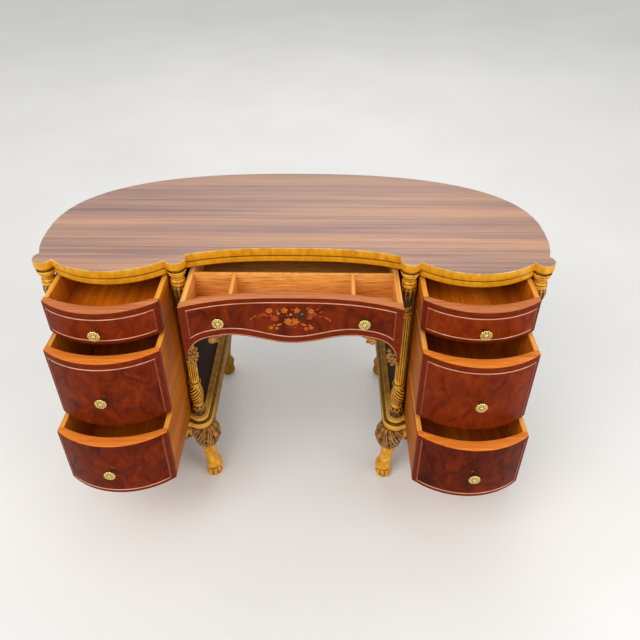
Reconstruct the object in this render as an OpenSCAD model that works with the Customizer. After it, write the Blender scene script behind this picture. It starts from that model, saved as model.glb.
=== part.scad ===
// Kidney writing desk with two pedestals, seven drawers, four columns and eight paw feet.
// Left and right are seen from the sitter's side. The drawers stand pulled out, as they rest.

/* [Overall] */
// Height of the writing surface above the floor
desk_h = 762; // [700:1:820]
// Half width of the kidney top
top_half_w = 632; // [610:1:680]
// From the column line to the widest part of the top
top_centre_y = 129; // [110:1:150]
// From the widest part of the top to its back edge
top_back_d = 341; // [330:1:400]
// Fullness of the kidney curve, where 2 is an ellipse
kidney_power = 2.42; // [2.3:0.01:2.8]

/* [Top and rails] */
// Thickness of the top board
top_t = 24; // [18:1:32]
// Height of the gilt rail under the top
rail_h = 16; // [12:1:26]
// Setback of the rail's bead from the edge of the top
rail_setback = 2; // [1:0.5:5]
// Depth of the groove over the bead
rail_groove = 4; // [2:0.5:6]
// Height of the groove over the bead
rail_groove_h = 5; // [3:0.5:7]
// Height of the small cove under the bead
rail_cove_h = 2.5; // [1:0.5:4]
// Thickness of the bow and knee rails
rail_t = 18; // [12:1:24]
// From a column's axis to where the bowed front edge crosses the column line
bow_side = 12.6; // [10:0.2:16]
// Furthest reach of the bow in front of the column line
bow_reach = 58.5; // [52:0.5:64]
// From the column line back to the hollow edge at the middle of the desk
knee_y = 49.5; // [40:0.5:60]
// Depth of the hollow edge from its middle to its ends
knee_sag = 33; // [24:0.5:38]
// Fullness of the hollow curve
knee_power = 2.8; // [2:0.1:4]

/* [Columns] */
// From the knee-hole face of the side panels out to the axes of the inner columns
col_face = 9; // [6:0.5:12]
// From the side of the top in to the axes of the outer columns
col_edge = 34; // [30:1:40]
// Radius of the rounded lobe of the top over a column
lobe_r = 25.5; // [23:0.5:30]
// Radius of the two thin rings under the cap
ring_r = 19.5; // [16:0.5:21]
// Radius of the carved upper vase
vase_r = 20.5; // [16:0.5:21]
// Radius of the fluted shaft
shaft_r = 13; // [11:0.5:15]
// Radius of one flute
flute_r = 2; // [1:0.25:2.5]
// Number of flutes round a shaft
flute_count = 12; // [8:1:14]
// Radius of the flared collar under the shaft
collar_r = 17.5; // [15:0.5:19]
// Radius of the twisted lower vase
twist_r = 19; // [16:0.5:20]
// Radius of the carved cup at the foot of a column
cup_r = 18.5; // [16:0.5:20]
// Height of the carved cup
cup_h = 44; // [36:1:52]
// Height of the twisted lower vase
twist_h = 78; // [64:1:90]
// Height of the flared collar
collar_h = 14; // [10:1:18]
// Height of the neck over the shaft
neck_h = 32; // [26:1:38]
// Height of the carved upper vase
vase_h = 46; // [38:1:54]
// Height of the rings between the upper vase and the cap
rings_h = 40; // [34:1:46]
// Plain length of the shaft over and under its flutes
flute_margin = 10; // [6:1:16]

/* [Case] */
// Overhang of the top past the curved panels
overhang = 24; // [20:1:30]
// Thickness of the panels
panel_t = 12; // [9:1:15]
// Gap from a column's axis line to the front edge of the panels and stiles
front_gap = 24; // [22:0.5:28]
// Width of the stiles across the front
stile_w = 19; // [16:1:19]
// Depth of the stiles, front to back
stile_d = 20; // [14:1:30]
// Room beside the centre drawer for its guides
centre_side = 17; // [14:1:20]
// Height of the panel that closes the back of the knee-hole
apron_h = 130; // [80:5:200]
// Thickness of the frames between the drawers
frame_t = 9; // [6:0.5:10]
// Width of the members of those frames
frame_w = 45; // [35:1:60]
// Rounding of the hollow edge into the lobes of the inner columns
lobe_join = 4; // [2:0.5:8]

/* [Base] */
// Height of the base's top above the floor
base_top = 238; // [225:1:245]
// Height of the upper bead of the base
bead_up_h = 13; // [10:1:16]
// Height of the lower bead of the base
bead_low_h = 20; // [14:1:24]
// Height of the flat frame under the beads
base_frame_h = 40; // [30:1:50]
// Rounding of the beads
bead_round = 4; // [2:0.5:5]
// Reach of the upper bead from a column's axis
bead_up_out = 26; // [24:0.5:30]
// Reach of the lower bead from a column's axis
bead_low_out = 36; // [32:0.5:38]
// Reach of the flat frame from a column's axis
base_frame_out = 32; // [30:0.5:34]
// Width of the base frame's members
base_w = 44; // [36:1:56]
// Thickness of the case bottom boards
case_bottom_t = 9; // [6:1:12]
// Width of the ledge that the case bottom sits on
ledge_w = 14; // [8:1:18]

/* [Legs] */
// Radius of the carved knee
knee_r = 43; // [38:1:48]
// Distance of the knee's middle from the corner that it carries
knee_out = 19; // [14:1:24]
// Radius of the leg at its ankle
ankle_r = 17; // [14:1:20]
// Radius of the paw
paw_r = 23; // [20:1:26]
// Distance of the paw's middle from the corner that it stands under
paw_out = 26; // [20:1:30]
// Gap beside the base frame where a leg stands against it
leg_gap = 0.3; // [0.2:0.05:0.6]
// Radius of a toe
toe_r = 8.5; // [6:0.5:10]
// Number of toes on a paw
toe_count = 4; // [3:1:5]
// Angle between neighbouring toes
toe_step = 38; // [30:1:44]

/* [Pedestal drawers] */
// Height of the upper drawer fronts
drawer_h1 = 87.5; // [70:0.5:90]
// Height of the middle drawer fronts
drawer_h2 = 199; // [160:0.5:205]
// Setback of the drawer fronts from the edge of the top
front_setback = 3.5; // [2:0.5:8]
// Thickness of a drawer front at its middle
front_mid_t = 32; // [20:1:36]
// Thickness of a drawer front at its ends
front_end_t = 14; // [10:1:18]
// Thickness of the drawer sides and backs
side_t = 12; // [8:0.5:14]
// Thickness of the drawer bottoms
bottom_t = 6; // [4:0.5:8]
// Height of a drawer bottom above the lower edge of its sides
bottom_up = 8; // [4:1:14]
// From the column line to the back of a closed pedestal drawer
drawer_back = 330; // [280:1:334]
// Size of the clipped corner at the outer back of a drawer
drawer_clip = 112; // [108:1:130]
// Gap over the upper drawers, under the rail
top_gap = 5.5; // [2:0.5:10]
// Running gap over and beside each drawer
run_gap = 1.5; // [0.8:0.1:2]
// Gap between a drawer and what it slides on
seat_gap = 0.3; // [0.2:0.05:0.6]
// Step of the drawer sides below the upper edge of the front
side_drop = 1; // [0:0.5:4]

/* [Centre drawer] */
// Half width of the centre drawer
centre_half_w = 256; // [240:1:257]
// Depth of the hollow of its front, middle to ends
centre_sag = 42; // [36:1:48]
// Thickness of its front
centre_front_t = 24; // [18:1:28]
// Height of its front at the middle
centre_mid_h = 134; // [120:1:150]
// Height of its front at the top of the two arches
centre_arch_h = 102; // [94:1:112]
// Distance of the arches from the middle
centre_arch_x = 168; // [140:1:185]
// Height of its front at the end lobes
centre_lobe_h = 168; // [150:1:190]
// Width of the end lobes at their tips
centre_lobe_w = 6; // [4:1:16]
// Sharpness of the turn from an arch down to its lobe
centre_lobe_turn = 4.4; // [2:0.2:6]
// Height of the box behind the front
centre_box_h = 80; // [60:1:90]
// From the column line to the back of the closed centre drawer
centre_back = 350; // [300:1:380]
// Distance of the cross wall behind the closed front's ends
cross_back = 145; // [110:1:200]
// Distance of the two small dividers from the middle
divider_x = 144; // [110:1:180]
// Thickness of the cross wall and the dividers
divider_t = 9; // [6:1:12]
// Thickness of the runners that carry the centre drawer
runner_t = 6; // [5:0.5:10]
// Reach of those runners past the inside of the drawer's sides
runner_lap = 2; // [0:0.5:6]
// Gap over the centre drawer, under the rail
centre_gap = 4.5; // [2:0.5:10]
// Step of the centre box below the upper edge of the front
centre_drop = 3; // [0:0.5:6]
// Drop of the centre drawer's knobs below its upper edge
centre_knob_drop = 46; // [36:1:54]
// Number of rounded lobes along a carved leaf
leaf_count = 5; // [4:1:7]
// Radius of the largest lobe of a leaf
leaf_r = 8; // [6:0.5:9]
// Distance of the leaf under an arch from the middle
arch_leaf_x = 186; // [160:1:200]
// Length of the leaf beside an arch
arch_leaf = 30; // [24:1:36]
// Length of the leaf beside an end lobe
lobe_leaf = 40; // [32:1:44]
// Thickness of a carved leaf
leaf_t = 14; // [8:1:18]
// Gap between a leaf and the edge that it is carved against
leaf_gap = 0.5; // [0.4:0.05:0.7]

/* [Knobs] */
// Radius of the brass rosette
knob_r = 15.5; // [12:0.5:18]
// Thickness of the rosette
knob_t = 6; // [4:0.5:8]
// Radius of one scallop of the rosette
scallop_r = 3.5; // [2.5:0.25:4.5]
// Number of scallops
scallop_count = 10; // [8:1:12]
// Distance of the rosette from the drawer front
knob_out = 22; // [14:1:28]
// Radius of the knob's stem
stem_r = 4.5; // [3:0.5:6]
// Radius of the bolt through the drawer front
bolt_r = 2; // [1.5:0.25:3]
// Clearance of the bolt in its hole
bolt_gap = 0.3; // [0.2:0.05:0.5]
// Height of the bolt's head
bolt_head_h = 2.5; // [2:0.25:4]
// Gap between the front and what is seated on it
knob_seat = 0.1; // [0.05:0.05:0.3]
// Rise of the lower drawers' knobs above the middle of their fronts
low_knob_up = 11; // [0:1:20]
// Distance of the centre drawer's knobs from the middle
centre_knob_x = 169; // [140:1:200]

/* [Drawers as they rest] */
// Pull of the upper left drawer
pull_upper_left = 108; // [0:1:250]
// Pull of the middle left drawer
pull_middle_left = 167; // [0:1:250]
// Pull of the lower left drawer
pull_lower_left = 226; // [0:1:250]
// Pull of the upper right drawer
pull_upper_right = 93; // [0:1:250]
// Pull of the middle right drawer
pull_middle_right = 167; // [0:1:250]
// Pull of the lower right drawer
pull_lower_right = 226; // [0:1:250]
// Pull of the centre drawer
pull_centre = 150; // [0:1:260]

/* [Hidden] */
$fn = 64;
// Plan: x to the right, y to the back, the column axes at y = 0 before the whole is centred.
side_x = centre_half_w + centre_side;
col_in_x = side_x + col_face;
col_out_x = top_half_w - col_edge;
bow_x = (col_in_x + col_out_x) / 2;
bow_half = bow_x - col_in_x - bow_side;
bow_r = (pow(bow_half, 2) + pow(bow_reach, 2)) / (2 * bow_reach);
bow_cy = bow_r - bow_reach;
drawer_bow_r = bow_r - front_setback;
drawer_half_w = bow_x - side_x - panel_t - stile_w - run_gap;
front_y = bow_cy - sqrt(pow(drawer_bow_r, 2) - pow(drawer_half_w, 2));
back_y = top_centre_y + top_back_d;
rail_z = desk_h - top_t - rail_h;
board_z = desk_h - top_t;
// Levels of the pedestal drawers, from the rail down
z1_top = rail_z - top_gap;
z1_low = z1_top - drawer_h1;
z2_top = z1_low - seat_gap - frame_t - run_gap;
z2_low = z2_top - drawer_h2;
z3_top = z2_low - seat_gap - frame_t - run_gap;
z3_low = base_top + seat_gap;
// Lower edge, upper edge and knob of each row of drawers
upper = [z1_low, z1_top, (z1_low + z1_top) / 2];
middle = [z2_low, z2_top, (z2_low + z2_top) / 2];
lower = [z3_low, z3_top, (z3_low + z3_top) / 2 + low_knob_up];
// Inside of a bowed drawer front
inner_half = drawer_half_w - side_t;
front_back_y = front_y + front_end_t;
inner_sag = front_back_y - (bow_cy - drawer_bow_r) - front_mid_t;
inner_bow_r = (pow(inner_half, 2) + pow(inner_sag, 2)) / (2 * inner_sag);
inner_bow_cy = front_back_y - inner_sag + inner_bow_r;
// Setbacks of the carcass from the edge of the top
panel_in = overhang + panel_t;
base_line = overhang + col_face;
base_low = base_top - bead_up_h - bead_low_h - base_frame_h;
frame_low = base_top - bead_up_h - bead_low_h;
bow_mid = bow_r - lobe_r;
hollow_end = col_in_x - lobe_r + lobe_join;
rear_in_y = kidney_y(col_in_x, base_line);
// Rear outer corner of a base, on the kidney curve
rear_angle = 30;
rear_out_x = kidney_pt(rear_angle, base_line).x;
rear_out_y = kidney_pt(rear_angle, base_line).y;
// Directions in which the legs lean, counted from the outward side of the desk
inner_front_angle = 212;
outer_front_angle = 305;
inner_rear_angle = 102;
outer_rear_angle = 42;
// Front of the centre drawer when it is closed
centre_y = knee_y + front_setback;
centre_top = rail_z - centre_gap;
centre_box_top = centre_top - centre_drop;
centre_box_low = centre_box_top - centre_box_h;
// The lowest drawer fronts reach furthest forward, and the back of the top furthest back
most_pull = max(pull_lower_left, pull_lower_right, pull_middle_left, pull_middle_right,
                pull_upper_left, pull_upper_right);
reach_front = bow_cy - drawer_bow_r - most_pull - knob_out - knob_t;
mid_y = (back_y + reach_front) / 2;
big = 3000;

// Curves in plan

function signed_pow(v, e) = sign(v) * pow(abs(v), e);
// Point on the kidney curve, moved in from the edge of the top
function kidney_pt(a, inset) = [
  (top_half_w - inset) * signed_pow(cos(a), 2 / kidney_power),
  top_centre_y + (top_back_d - inset) * signed_pow(sin(a), 2 / kidney_power)
];
function kidney_y(x, inset) = top_centre_y + (top_back_d - inset)
  * pow(1 - pow(x / (top_half_w - inset), kidney_power), 1 / kidney_power);
// Hollow curve of the knee-hole edge, and of the centre drawer with its own sag and half width
function hollow_y(x, mid, sag, half) = mid - sag * pow(abs(x) / half, knee_power);
// Smooth step from a to b as t goes from 0 to 1
function ease(a, b, t) = a + (b - a) * (1 - cos(180 * t)) / 2;

module kidney(inset) {
  polygon([for (a = [0:5:355]) kidney_pt(a, inset)]);
}

module place() {
  translate([0, -mid_y, 0]) children();
}

module on_side(side) {
  if (side == "left") mirror([1, 0, 0]) children();
  else children();
}

// Part of the plan in front of the hollow knee-hole edge
module hollow_cut(inset) {
  polygon(concat(
    [[-hollow_end, -lobe_r], [hollow_end, -lobe_r]],
    [for (i = [12:-1:-12]) [hollow_end * i / 12,
      hollow_y(hollow_end * i / 12, knee_y + inset, knee_sag, hollow_end)]]
  ));
}

// Whole outline of the top, moved in by an inset
module top_plan(inset) {
  difference() {
    union() {
      intersection() {
        kidney(inset);
        translate([-big / 2, 0]) square([big, big]);
      }
      for (s = [-1, 1]) {
        translate([s * bow_x, 0]) intersection() {
          translate([0, bow_cy]) circle(r = bow_r - inset);
          translate([col_in_x - bow_x, -big]) square([col_out_x - col_in_x, big + 1]);
        }
      }
    }
    hollow_cut(inset);
  }
  for (x = [-col_out_x, -col_in_x, col_in_x, col_out_x]) {
    translate([x, 0]) circle(r = lobe_r - inset);
  }
}

module top_board() {
  color("sienna") place() translate([0, 0, board_z]) linear_extrude(top_t) top_plan(0);
}

// Gilt rails under the top

// Layers of the rail's profile: cove, bead and groove
module rail_layers(low, high) {
  translate([0, 0, rail_z]) linear_extrude(rail_cove_h) children(0);
  translate([0, 0, rail_z + rail_cove_h]) linear_extrude(rail_h - rail_cove_h - rail_groove_h) children(1);
  translate([0, 0, board_z - rail_groove_h]) linear_extrude(rail_groove_h) children(2);
}

module bow_band(inset) {
  difference() {
    intersection() {
      translate([bow_x, bow_cy]) circle(r = bow_r - inset);
      translate([col_in_x, -big]) square([col_out_x - col_in_x, big]);
    }
    translate([bow_x, bow_cy]) circle(r = bow_r - rail_setback - rail_t);
    for (x = [col_in_x, col_out_x]) {
      translate([x, 0]) circle(r = lobe_r - rail_setback);
    }
  }
}

module bow_rail(side) {
  color("goldenrod") place() on_side(side) rail_layers() {
    bow_band(rail_setback + rail_cove_h);
    bow_band(rail_setback);
    bow_band(rail_setback + rail_groove);
  }
}

// Hollow band with a block at each end, which joins it to the column and the side panel
module knee_band(inset) {
  end_x = col_in_x - lobe_r + rail_setback;
  end_y = knee_y - knee_sag + inset;
  difference() {
    union() {
      intersection() {
        difference() {
          hollow_cut(rail_setback + rail_t);
          hollow_cut(inset);
        }
        translate([-end_x, 0]) square([2 * end_x, big]);
      }
      for (s = [-1, 1]) {
        translate([s < 0 ? -side_x : end_x, end_y])
          square([side_x - end_x, front_gap + stile_d - end_y]);
      }
    }
    for (s = [-1, 1]) {
      translate([s * col_in_x, 0]) circle(r = lobe_r - rail_setback);
    }
  }
}

module knee_rail() {
  color("goldenrod") place() rail_layers() {
    knee_band(rail_setback + rail_cove_h);
    knee_band(rail_setback);
    knee_band(rail_setback + rail_groove);
  }
}

module back_band(inset) {
  intersection() {
    difference() {
      kidney(inset);
      kidney(panel_in);
    }
    translate([-big / 2, front_gap]) square([big, big]);
  }
}

module back_rail() {
  color("goldenrod") place() rail_layers() {
    back_band(rail_setback + rail_cove_h);
    back_band(rail_setback);
    back_band(rail_setback + rail_groove);
  }
}

// Columns

// Levels of a column, from the cap down and from the cup up
vase_top = rail_z - rings_h;
vase_low = vase_top - vase_h;
shaft_top = vase_low - neck_h;
twist_z = base_top + cup_h;
collar_z = twist_z + twist_h;
shaft_z = collar_z + collar_h;
// Turned profile of a column from its cup to its cap, as radius and height
column_profile = concat(
  [[0, base_top], [cup_r, base_top], [cup_r, base_top + cup_h * 0.6]],
  [for (i = [1:5]) [ease(cup_r, twist_r * 0.72, i / 5), base_top + cup_h * (0.6 + 0.08 * i)]],
  [for (i = [1:12]) [twist_r * (0.72 + 0.28 * sin(180 * i / 12)), twist_z + twist_h * i / 12]],
  [[collar_r * 0.86, collar_z], [collar_r, collar_z + collar_h * 0.25]],
  [for (i = [1:5]) [ease(collar_r, shaft_r, i / 5), collar_z + collar_h * (0.25 + 0.15 * i)]],
  [[shaft_r, shaft_z], [shaft_r, shaft_top]],
  [[ring_r * 0.68, shaft_top], [ring_r * 0.68, shaft_top + neck_h * 0.2]],
  [[ring_r * 0.4, shaft_top + neck_h * 0.35], [ring_r * 0.36, shaft_top + neck_h * 0.55]],
  [[ring_r * 0.45, vase_low - neck_h * 0.22], [ring_r * 0.7, vase_low - neck_h * 0.16]],
  [[ring_r * 0.7, vase_low]],
  [for (i = [0:8]) [vase_r * (0.56 + 0.44 * sin(90 * i / 8)), vase_low + vase_h * i / 8]],
  [[vase_r * 0.84, vase_top + rings_h * 0.08], [vase_r * 0.84, vase_top + rings_h * 0.2]],
  [[ring_r * 0.72, vase_top + rings_h * 0.3], [ring_r * 0.72, vase_top + rings_h * 0.55]],
  [[ring_r * 0.96, vase_top + rings_h * 0.6], [ring_r * 0.96, vase_top + rings_h * 0.72]],
  [[ring_r * 0.82, vase_top + rings_h * 0.77], [ring_r * 0.82, vase_top + rings_h * 0.83]],
  [[ring_r, vase_top + rings_h * 0.88], [ring_r, rail_z]],
  [for (i = [1:4]) [ease(ring_r, lobe_r - rail_setback, i / 4), rail_z + rail_cove_h * i / 2]],
  [[lobe_r - rail_setback, board_z - rail_groove_h]],
  [[lobe_r - rail_setback - rail_groove, board_z - rail_groove_h]],
  [[lobe_r - rail_setback - rail_groove, board_z], [0, board_z]]
);

module column(x) {
  color("goldenrod") place() translate([x, 0, 0]) difference() {
    rotate_extrude() polygon(column_profile);
    for (a = [0:360 / flute_count:359]) {
      rotate([0, 0, a]) translate([shaft_r + flute_r * 0.35, 0, shaft_z + flute_margin])
        cylinder(r = flute_r, h = shaft_top - shaft_z - 2 * flute_margin);
    }
  }
}

// Case

module stile_plan() {
  translate([side_x + panel_t, front_gap]) square([stile_w, stile_d]);
  intersection() {
    kidney(panel_in);
    translate([bow_x + drawer_half_w + run_gap, front_gap]) square([big, stile_d]);
  }
}

module front_stiles() {
  color("darkgoldenrod") place() for (side = ["left", "right"]) {
    on_side(side) translate([0, 0, base_top]) linear_extrude(board_z - base_top) stile_plan();
  }
}

module side_panel(side) {
  color("saddlebrown") place() on_side(side) translate([0, 0, base_top])
    linear_extrude(board_z - base_top) intersection() {
      kidney(panel_in);
      translate([side_x, front_gap]) square([panel_t, big]);
    }
}

module curved_band() {
  difference() {
    kidney(overhang);
    kidney(panel_in);
  }
}

module curved_panel(side) {
  color("saddlebrown") place() on_side(side) translate([0, 0, base_top])
    linear_extrude(rail_z - base_top) intersection() {
      curved_band();
      translate([side_x, front_gap]) square([big, big]);
    }
}

module back_apron() {
  color("saddlebrown") place() translate([0, 0, rail_z - apron_h]) linear_extrude(apron_h) intersection() {
    curved_band();
    translate([-side_x, front_gap]) square([2 * side_x, big]);
  }
}

// Plan of the frames between the drawers, without their opening
module frame_plan() {
  difference() {
    union() {
      intersection() {
        kidney(panel_in);
        translate([side_x + panel_t, front_gap]) square([big, big]);
      }
      intersection() {
        translate([bow_x, bow_cy]) circle(r = drawer_bow_r);
        translate([bow_x - drawer_half_w, -big]) square([2 * drawer_half_w, big + front_gap]);
      }
    }
    stile_plan();
  }
}

module frame_opening() {
  intersection() {
    kidney(panel_in + frame_w);
    translate([side_x + panel_t + frame_w, front_gap]) square([big, drawer_back - front_gap - frame_w / 2]);
  }
}

module runner_frames(side) {
  color("peru") place() on_side(side) for (z = [z1_low, z2_low]) {
    translate([0, 0, z - seat_gap - frame_t]) linear_extrude(frame_t) difference() {
      frame_plan();
      frame_opening();
    }
  }
}

// Ledge under each side of the centre drawer, with a guide beside it, both behind its closed front
module centre_runners() {
  guide_x = centre_half_w + run_gap;
  ledge_x = centre_half_w - side_t - runner_lap;
  ledge_y = hollow_y(ledge_x, centre_y, centre_sag, centre_half_w) + centre_front_t + run_gap;
  ledge_z = centre_box_low - seat_gap;
  color("peru") place() for (s = [0, 1]) {
    mirror([s, 0, 0]) {
      translate([ledge_x, ledge_y, ledge_z - runner_t])
        cube([side_x - ledge_x, centre_back - ledge_y, runner_t]);
      translate([guide_x, ledge_y, ledge_z])
        cube([side_x - guide_x, centre_back - ledge_y, centre_box_h / 2]);
    }
  }
}

// Base

// Outline of a base at a given reach from the column axes
module base_plan(reach) {
  intersection() {
    kidney(base_line - reach);
    union() {
      translate([col_in_x, 0]) square([big, big]);
      translate([col_in_x - reach, 0]) square([reach + 1, rear_in_y]);
      translate([col_in_x, rear_in_y]) circle(r = reach);
    }
  }
  intersection() {
    translate([bow_x, bow_cy]) circle(r = bow_mid + reach);
    translate([col_in_x, -big]) square([col_out_x - col_in_x, big + 1]);
  }
  for (x = [col_in_x, col_out_x]) {
    translate([x, 0]) circle(r = reach);
  }
}

// Opening inside the base, larger by grow on each side
module base_opening(grow) {
  edge = base_w - grow;
  intersection() {
    kidney(base_line + edge);
    translate([col_in_x + edge, front_gap - grow])
      square([big, rear_in_y - edge - col_face - front_gap + 2 * grow]);
  }
}

// One layer of the base, from its low level up, at a given reach
module base_layer(low, h, reach) {
  translate([0, 0, low]) linear_extrude(h) base_plan(reach);
}

// Rounded bead made of thin layers that step in towards its upper and lower edges
module bead(low, h, reach, steps) {
  for (i = [0:steps - 1]) {
    t = (i + 0.5) / steps;
    base_layer(low + h * i / steps, h / steps, reach - bead_round * pow(abs(2 * t - 1), 3));
  }
}

module base_moulding(side) {
  color("goldenrod") place() on_side(side) difference() {
    union() {
      base_layer(base_low, base_frame_h, base_frame_out);
      bead(frame_low, bead_low_h, bead_low_out, 5);
      bead(frame_low + bead_low_h, bead_up_h, bead_up_out, 4);
    }
    translate([0, 0, base_low - 1]) linear_extrude(base_top - base_low + 2) base_opening(0);
    translate([0, 0, base_top - case_bottom_t]) linear_extrude(case_bottom_t + 1) base_opening(ledge_w);
  }
}

module case_bottom(side) {
  color("peru") place() on_side(side) translate([0, 0, base_top - case_bottom_t])
    linear_extrude(case_bottom_t) base_opening(ledge_w);
}

// Legs

// Height of the flat pad under a paw
pad_h = base_low * 0.12;
// Rings of a leg: height, distance out from its corner, and radius
leg_rings = concat(
  [[frame_low, knee_out * 0.3, knee_r * 0.78]],
  [[base_low + base_frame_h * 0.6, knee_out * 0.75, knee_r * 0.95]],
  [[base_low + base_frame_h * 0.15, knee_out * 0.95, knee_r], [base_low * 0.93, knee_out, knee_r * 0.92]],
  [[base_low * 0.84, knee_out * 0.9, knee_r * 0.74], [base_low * 0.76, knee_out * 0.8, ankle_r * 1.4]],
  [[base_low * 0.62, knee_out * 0.85, ankle_r * 1.15], [base_low * 0.5, paw_out * 0.8, ankle_r]],
  [[base_low * 0.37, paw_out, ankle_r * 1.15], [base_low * 0.27, paw_out, paw_r]],
  [[base_low * 0.17, paw_out, paw_r * 1.05], [pad_h, paw_out, paw_r * 0.9]]
);
leg_sides = 20;
ring_t = 0.5;

// Place out from a leg's corner, along an angle
module leaning(angle, out) {
  translate([out * cos(angle), out * sin(angle), 0]) children();
}

// Smooth body through the rings, leaning out along an angle
module leg_body(angle) {
  for (k = [0:len(leg_rings) - 2]) {
    hull() for (ring = [leg_rings[k], leg_rings[k + 1]]) {
      leaning(angle, ring[1]) translate([0, 0, ring[0] - ring_t])
        cylinder(r = ring[2], h = ring_t, $fn = leg_sides);
    }
  }
}

// Toes spread round the front of the paw, on a flat pad
module paw(angle) {
  leaning(angle, paw_out) {
    cylinder(r = paw_r * 0.85, h = pad_h, $fn = leg_sides);
    for (i = [0:toe_count - 1]) {
      a = (i - (toe_count - 1) / 2) * toe_step;
      hull() {
        leaning(angle + a, paw_r * 0.85) translate([0, 0, toe_r]) sphere(r = toe_r, $fn = 12);
        leaning(angle + a, paw_r * 0.5) translate([0, 0, toe_r * 1.6]) sphere(r = toe_r, $fn = 12);
      }
    }
  }
}

module leg(side, x, y, angle) {
  color("goldenrod") place() on_side(side) difference() {
    translate([x, y, 0]) {
      leg_body(angle);
      paw(angle);
    }
    base_layer(base_low, base_frame_h, base_frame_out + leg_gap);
  }
}

// Pedestal drawers, drawn for the right side with the outer corner clipped

// A drawer's plan is moved forward by its pull
module pulled(side, pull) {
  place() on_side(side) translate([bow_x, -pull, 0]) children();
}

module inner_bow() {
  translate([0, inner_bow_cy]) circle(r = inner_bow_r);
}

module front_plan() {
  difference() {
    intersection() {
      translate([0, bow_cy]) circle(r = drawer_bow_r);
      translate([-drawer_half_w, -bow_reach]) square([2 * drawer_half_w, bow_reach + front_back_y]);
    }
    inner_bow();
  }
}

// Outline of a drawer's box, moved in from its outer faces, with its front edge at y = front
module box_plan(inset, front) {
  c = drawer_clip;
  k = inset * (sqrt(2) - 1);
  w = drawer_half_w - inset;
  b = drawer_back - inset;
  polygon([
    [-w, front], [-w, b], [drawer_half_w - c - k, b],
    [w, drawer_back - c - k], [w, front]
  ]);
}

module bolt_hole(x, y, z) {
  translate([x, y, z]) rotate([90, 0, 0]) cylinder(r = bolt_r + bolt_gap, h = big, center = true);
}

// Scalloped brass rosette on a stem, turned in one with the bolt that holds it from inside
module knob(x, face_y, z, front_t) {
  head = front_t + knob_seat;
  disc_r = knob_r - scallop_r * 0.7;
  translate([x, face_y, z]) rotate([90, 0, 0]) {
    rotate_extrude() polygon([
      [0, -head - bolt_head_h], [bolt_r * 2, -head - bolt_head_h], [bolt_r * 2, -head],
      [bolt_r, -head], [bolt_r, knob_seat], [stem_r, knob_seat], [stem_r, knob_out],
      [disc_r, knob_out], [disc_r, knob_out + knob_t * 0.6],
      [knob_r * 0.35, knob_out + knob_t * 0.6], [knob_r * 0.35, knob_out + knob_t],
      [0, knob_out + knob_t]
    ]);
    for (i = [0:scallop_count - 1]) {
      rotate([0, 0, (i + 0.5) * 360 / scallop_count])
        translate([knob_r - scallop_r, 0, knob_out + knob_t * 0.1])
        cylinder(r = scallop_r, h = knob_t * 0.4);
    }
  }
}

module drawer_front(side, row, pull) {
  color("firebrick") pulled(side, pull) difference() {
    translate([0, 0, row[0]]) linear_extrude(row[1] - row[0]) front_plan();
    bolt_hole(0, front_y, row[2]);
  }
}

module drawer_box(side, row, pull) {
  color("darkorange") pulled(side, pull) translate([0, 0, row[0]])
    linear_extrude(row[1] - row[0] - side_drop) difference() {
      box_plan(0, front_back_y);
      box_plan(side_t, front_back_y - 1);
    }
}

module drawer_bottom(side, row, pull) {
  color("orange") pulled(side, pull) translate([0, 0, row[0] + bottom_up]) linear_extrude(bottom_t)
    intersection() {
      box_plan(side_t, -big);
      union() {
        inner_bow();
        translate([-big / 2, front_back_y]) square([big, big]);
      }
    }
}

module drawer_knob(side, row, pull) {
  color("gold") pulled(side, pull) knob(0, bow_cy - drawer_bow_r, row[2], front_mid_t);
}

// Centre drawer

module centre_place() {
  place() translate([0, -pull_centre, 0]) children();
}

// Points of the hollow front from left to right, with its middle at y
centre_steps = 16;
function centre_line(y) = [for (i = [-centre_steps:centre_steps])
  let (x = centre_half_w * i / centre_steps) [x, hollow_y(x, y, centre_sag, centre_half_w)]];

module centre_front_plan() {
  back = centre_line(centre_y + centre_front_t);
  polygon(concat(centre_line(centre_y), [for (i = [len(back) - 1:-1:0]) back[i]]));
}

// Height of the shaped front at a distance from the middle
lobe_in = centre_half_w - centre_lobe_w;
function apron_drop(x) =
  x < centre_arch_x ? ease(centre_mid_h, centre_arch_h, x / centre_arch_x)
  : x < lobe_in ? centre_arch_h + (centre_lobe_h - centre_arch_h) * (1 - sqrt(max(0,
    1 - pow((x - centre_arch_x) / (lobe_in - centre_arch_x), centre_lobe_turn))))
  : centre_lobe_h;

module centre_face() {
  arch = [for (i = [0:8]) centre_arch_x * i / 8];
  rise = [for (i = [1:12]) centre_arch_x + (lobe_in - centre_arch_x) * sin(90 * i / 12)];
  half = concat(arch, rise, [centre_half_w]);
  polygon(concat(
    [[-centre_half_w, 0], [centre_half_w, 0]],
    [for (i = [len(half) - 1:-1:0]) [half[i], -apron_drop(half[i])]],
    [for (i = [1:len(half) - 1]) [-half[i], -apron_drop(half[i])]]
  ));
}

module centre_front_solid() {
  intersection() {
    translate([0, 0, centre_top - centre_lobe_h]) linear_extrude(centre_lobe_h) centre_front_plan();
    translate([0, big / 2, centre_top]) rotate([90, 0, 0]) linear_extrude(big) centre_face();
  }
}

centre_knob_z = centre_top - centre_knob_drop;
centre_knob_y = hollow_y(centre_knob_x, centre_y, centre_sag, centre_half_w);

module centre_front() {
  color("firebrick") centre_place() difference() {
    centre_front_solid();
    for (s = [-1, 1]) bolt_hole(s * centre_knob_x, centre_knob_y, centre_knob_z);
  }
}

// Inside of the box, behind the hollow front
module centre_inside(inset) {
  w = centre_half_w - inset;
  intersection() {
    polygon(concat(
      [[centre_half_w, centre_back], [-centre_half_w, centre_back]],
      centre_line(centre_y + centre_front_t)
    ));
    translate([-w, -big]) square([2 * w, big + centre_back - inset]);
  }
}

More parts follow.
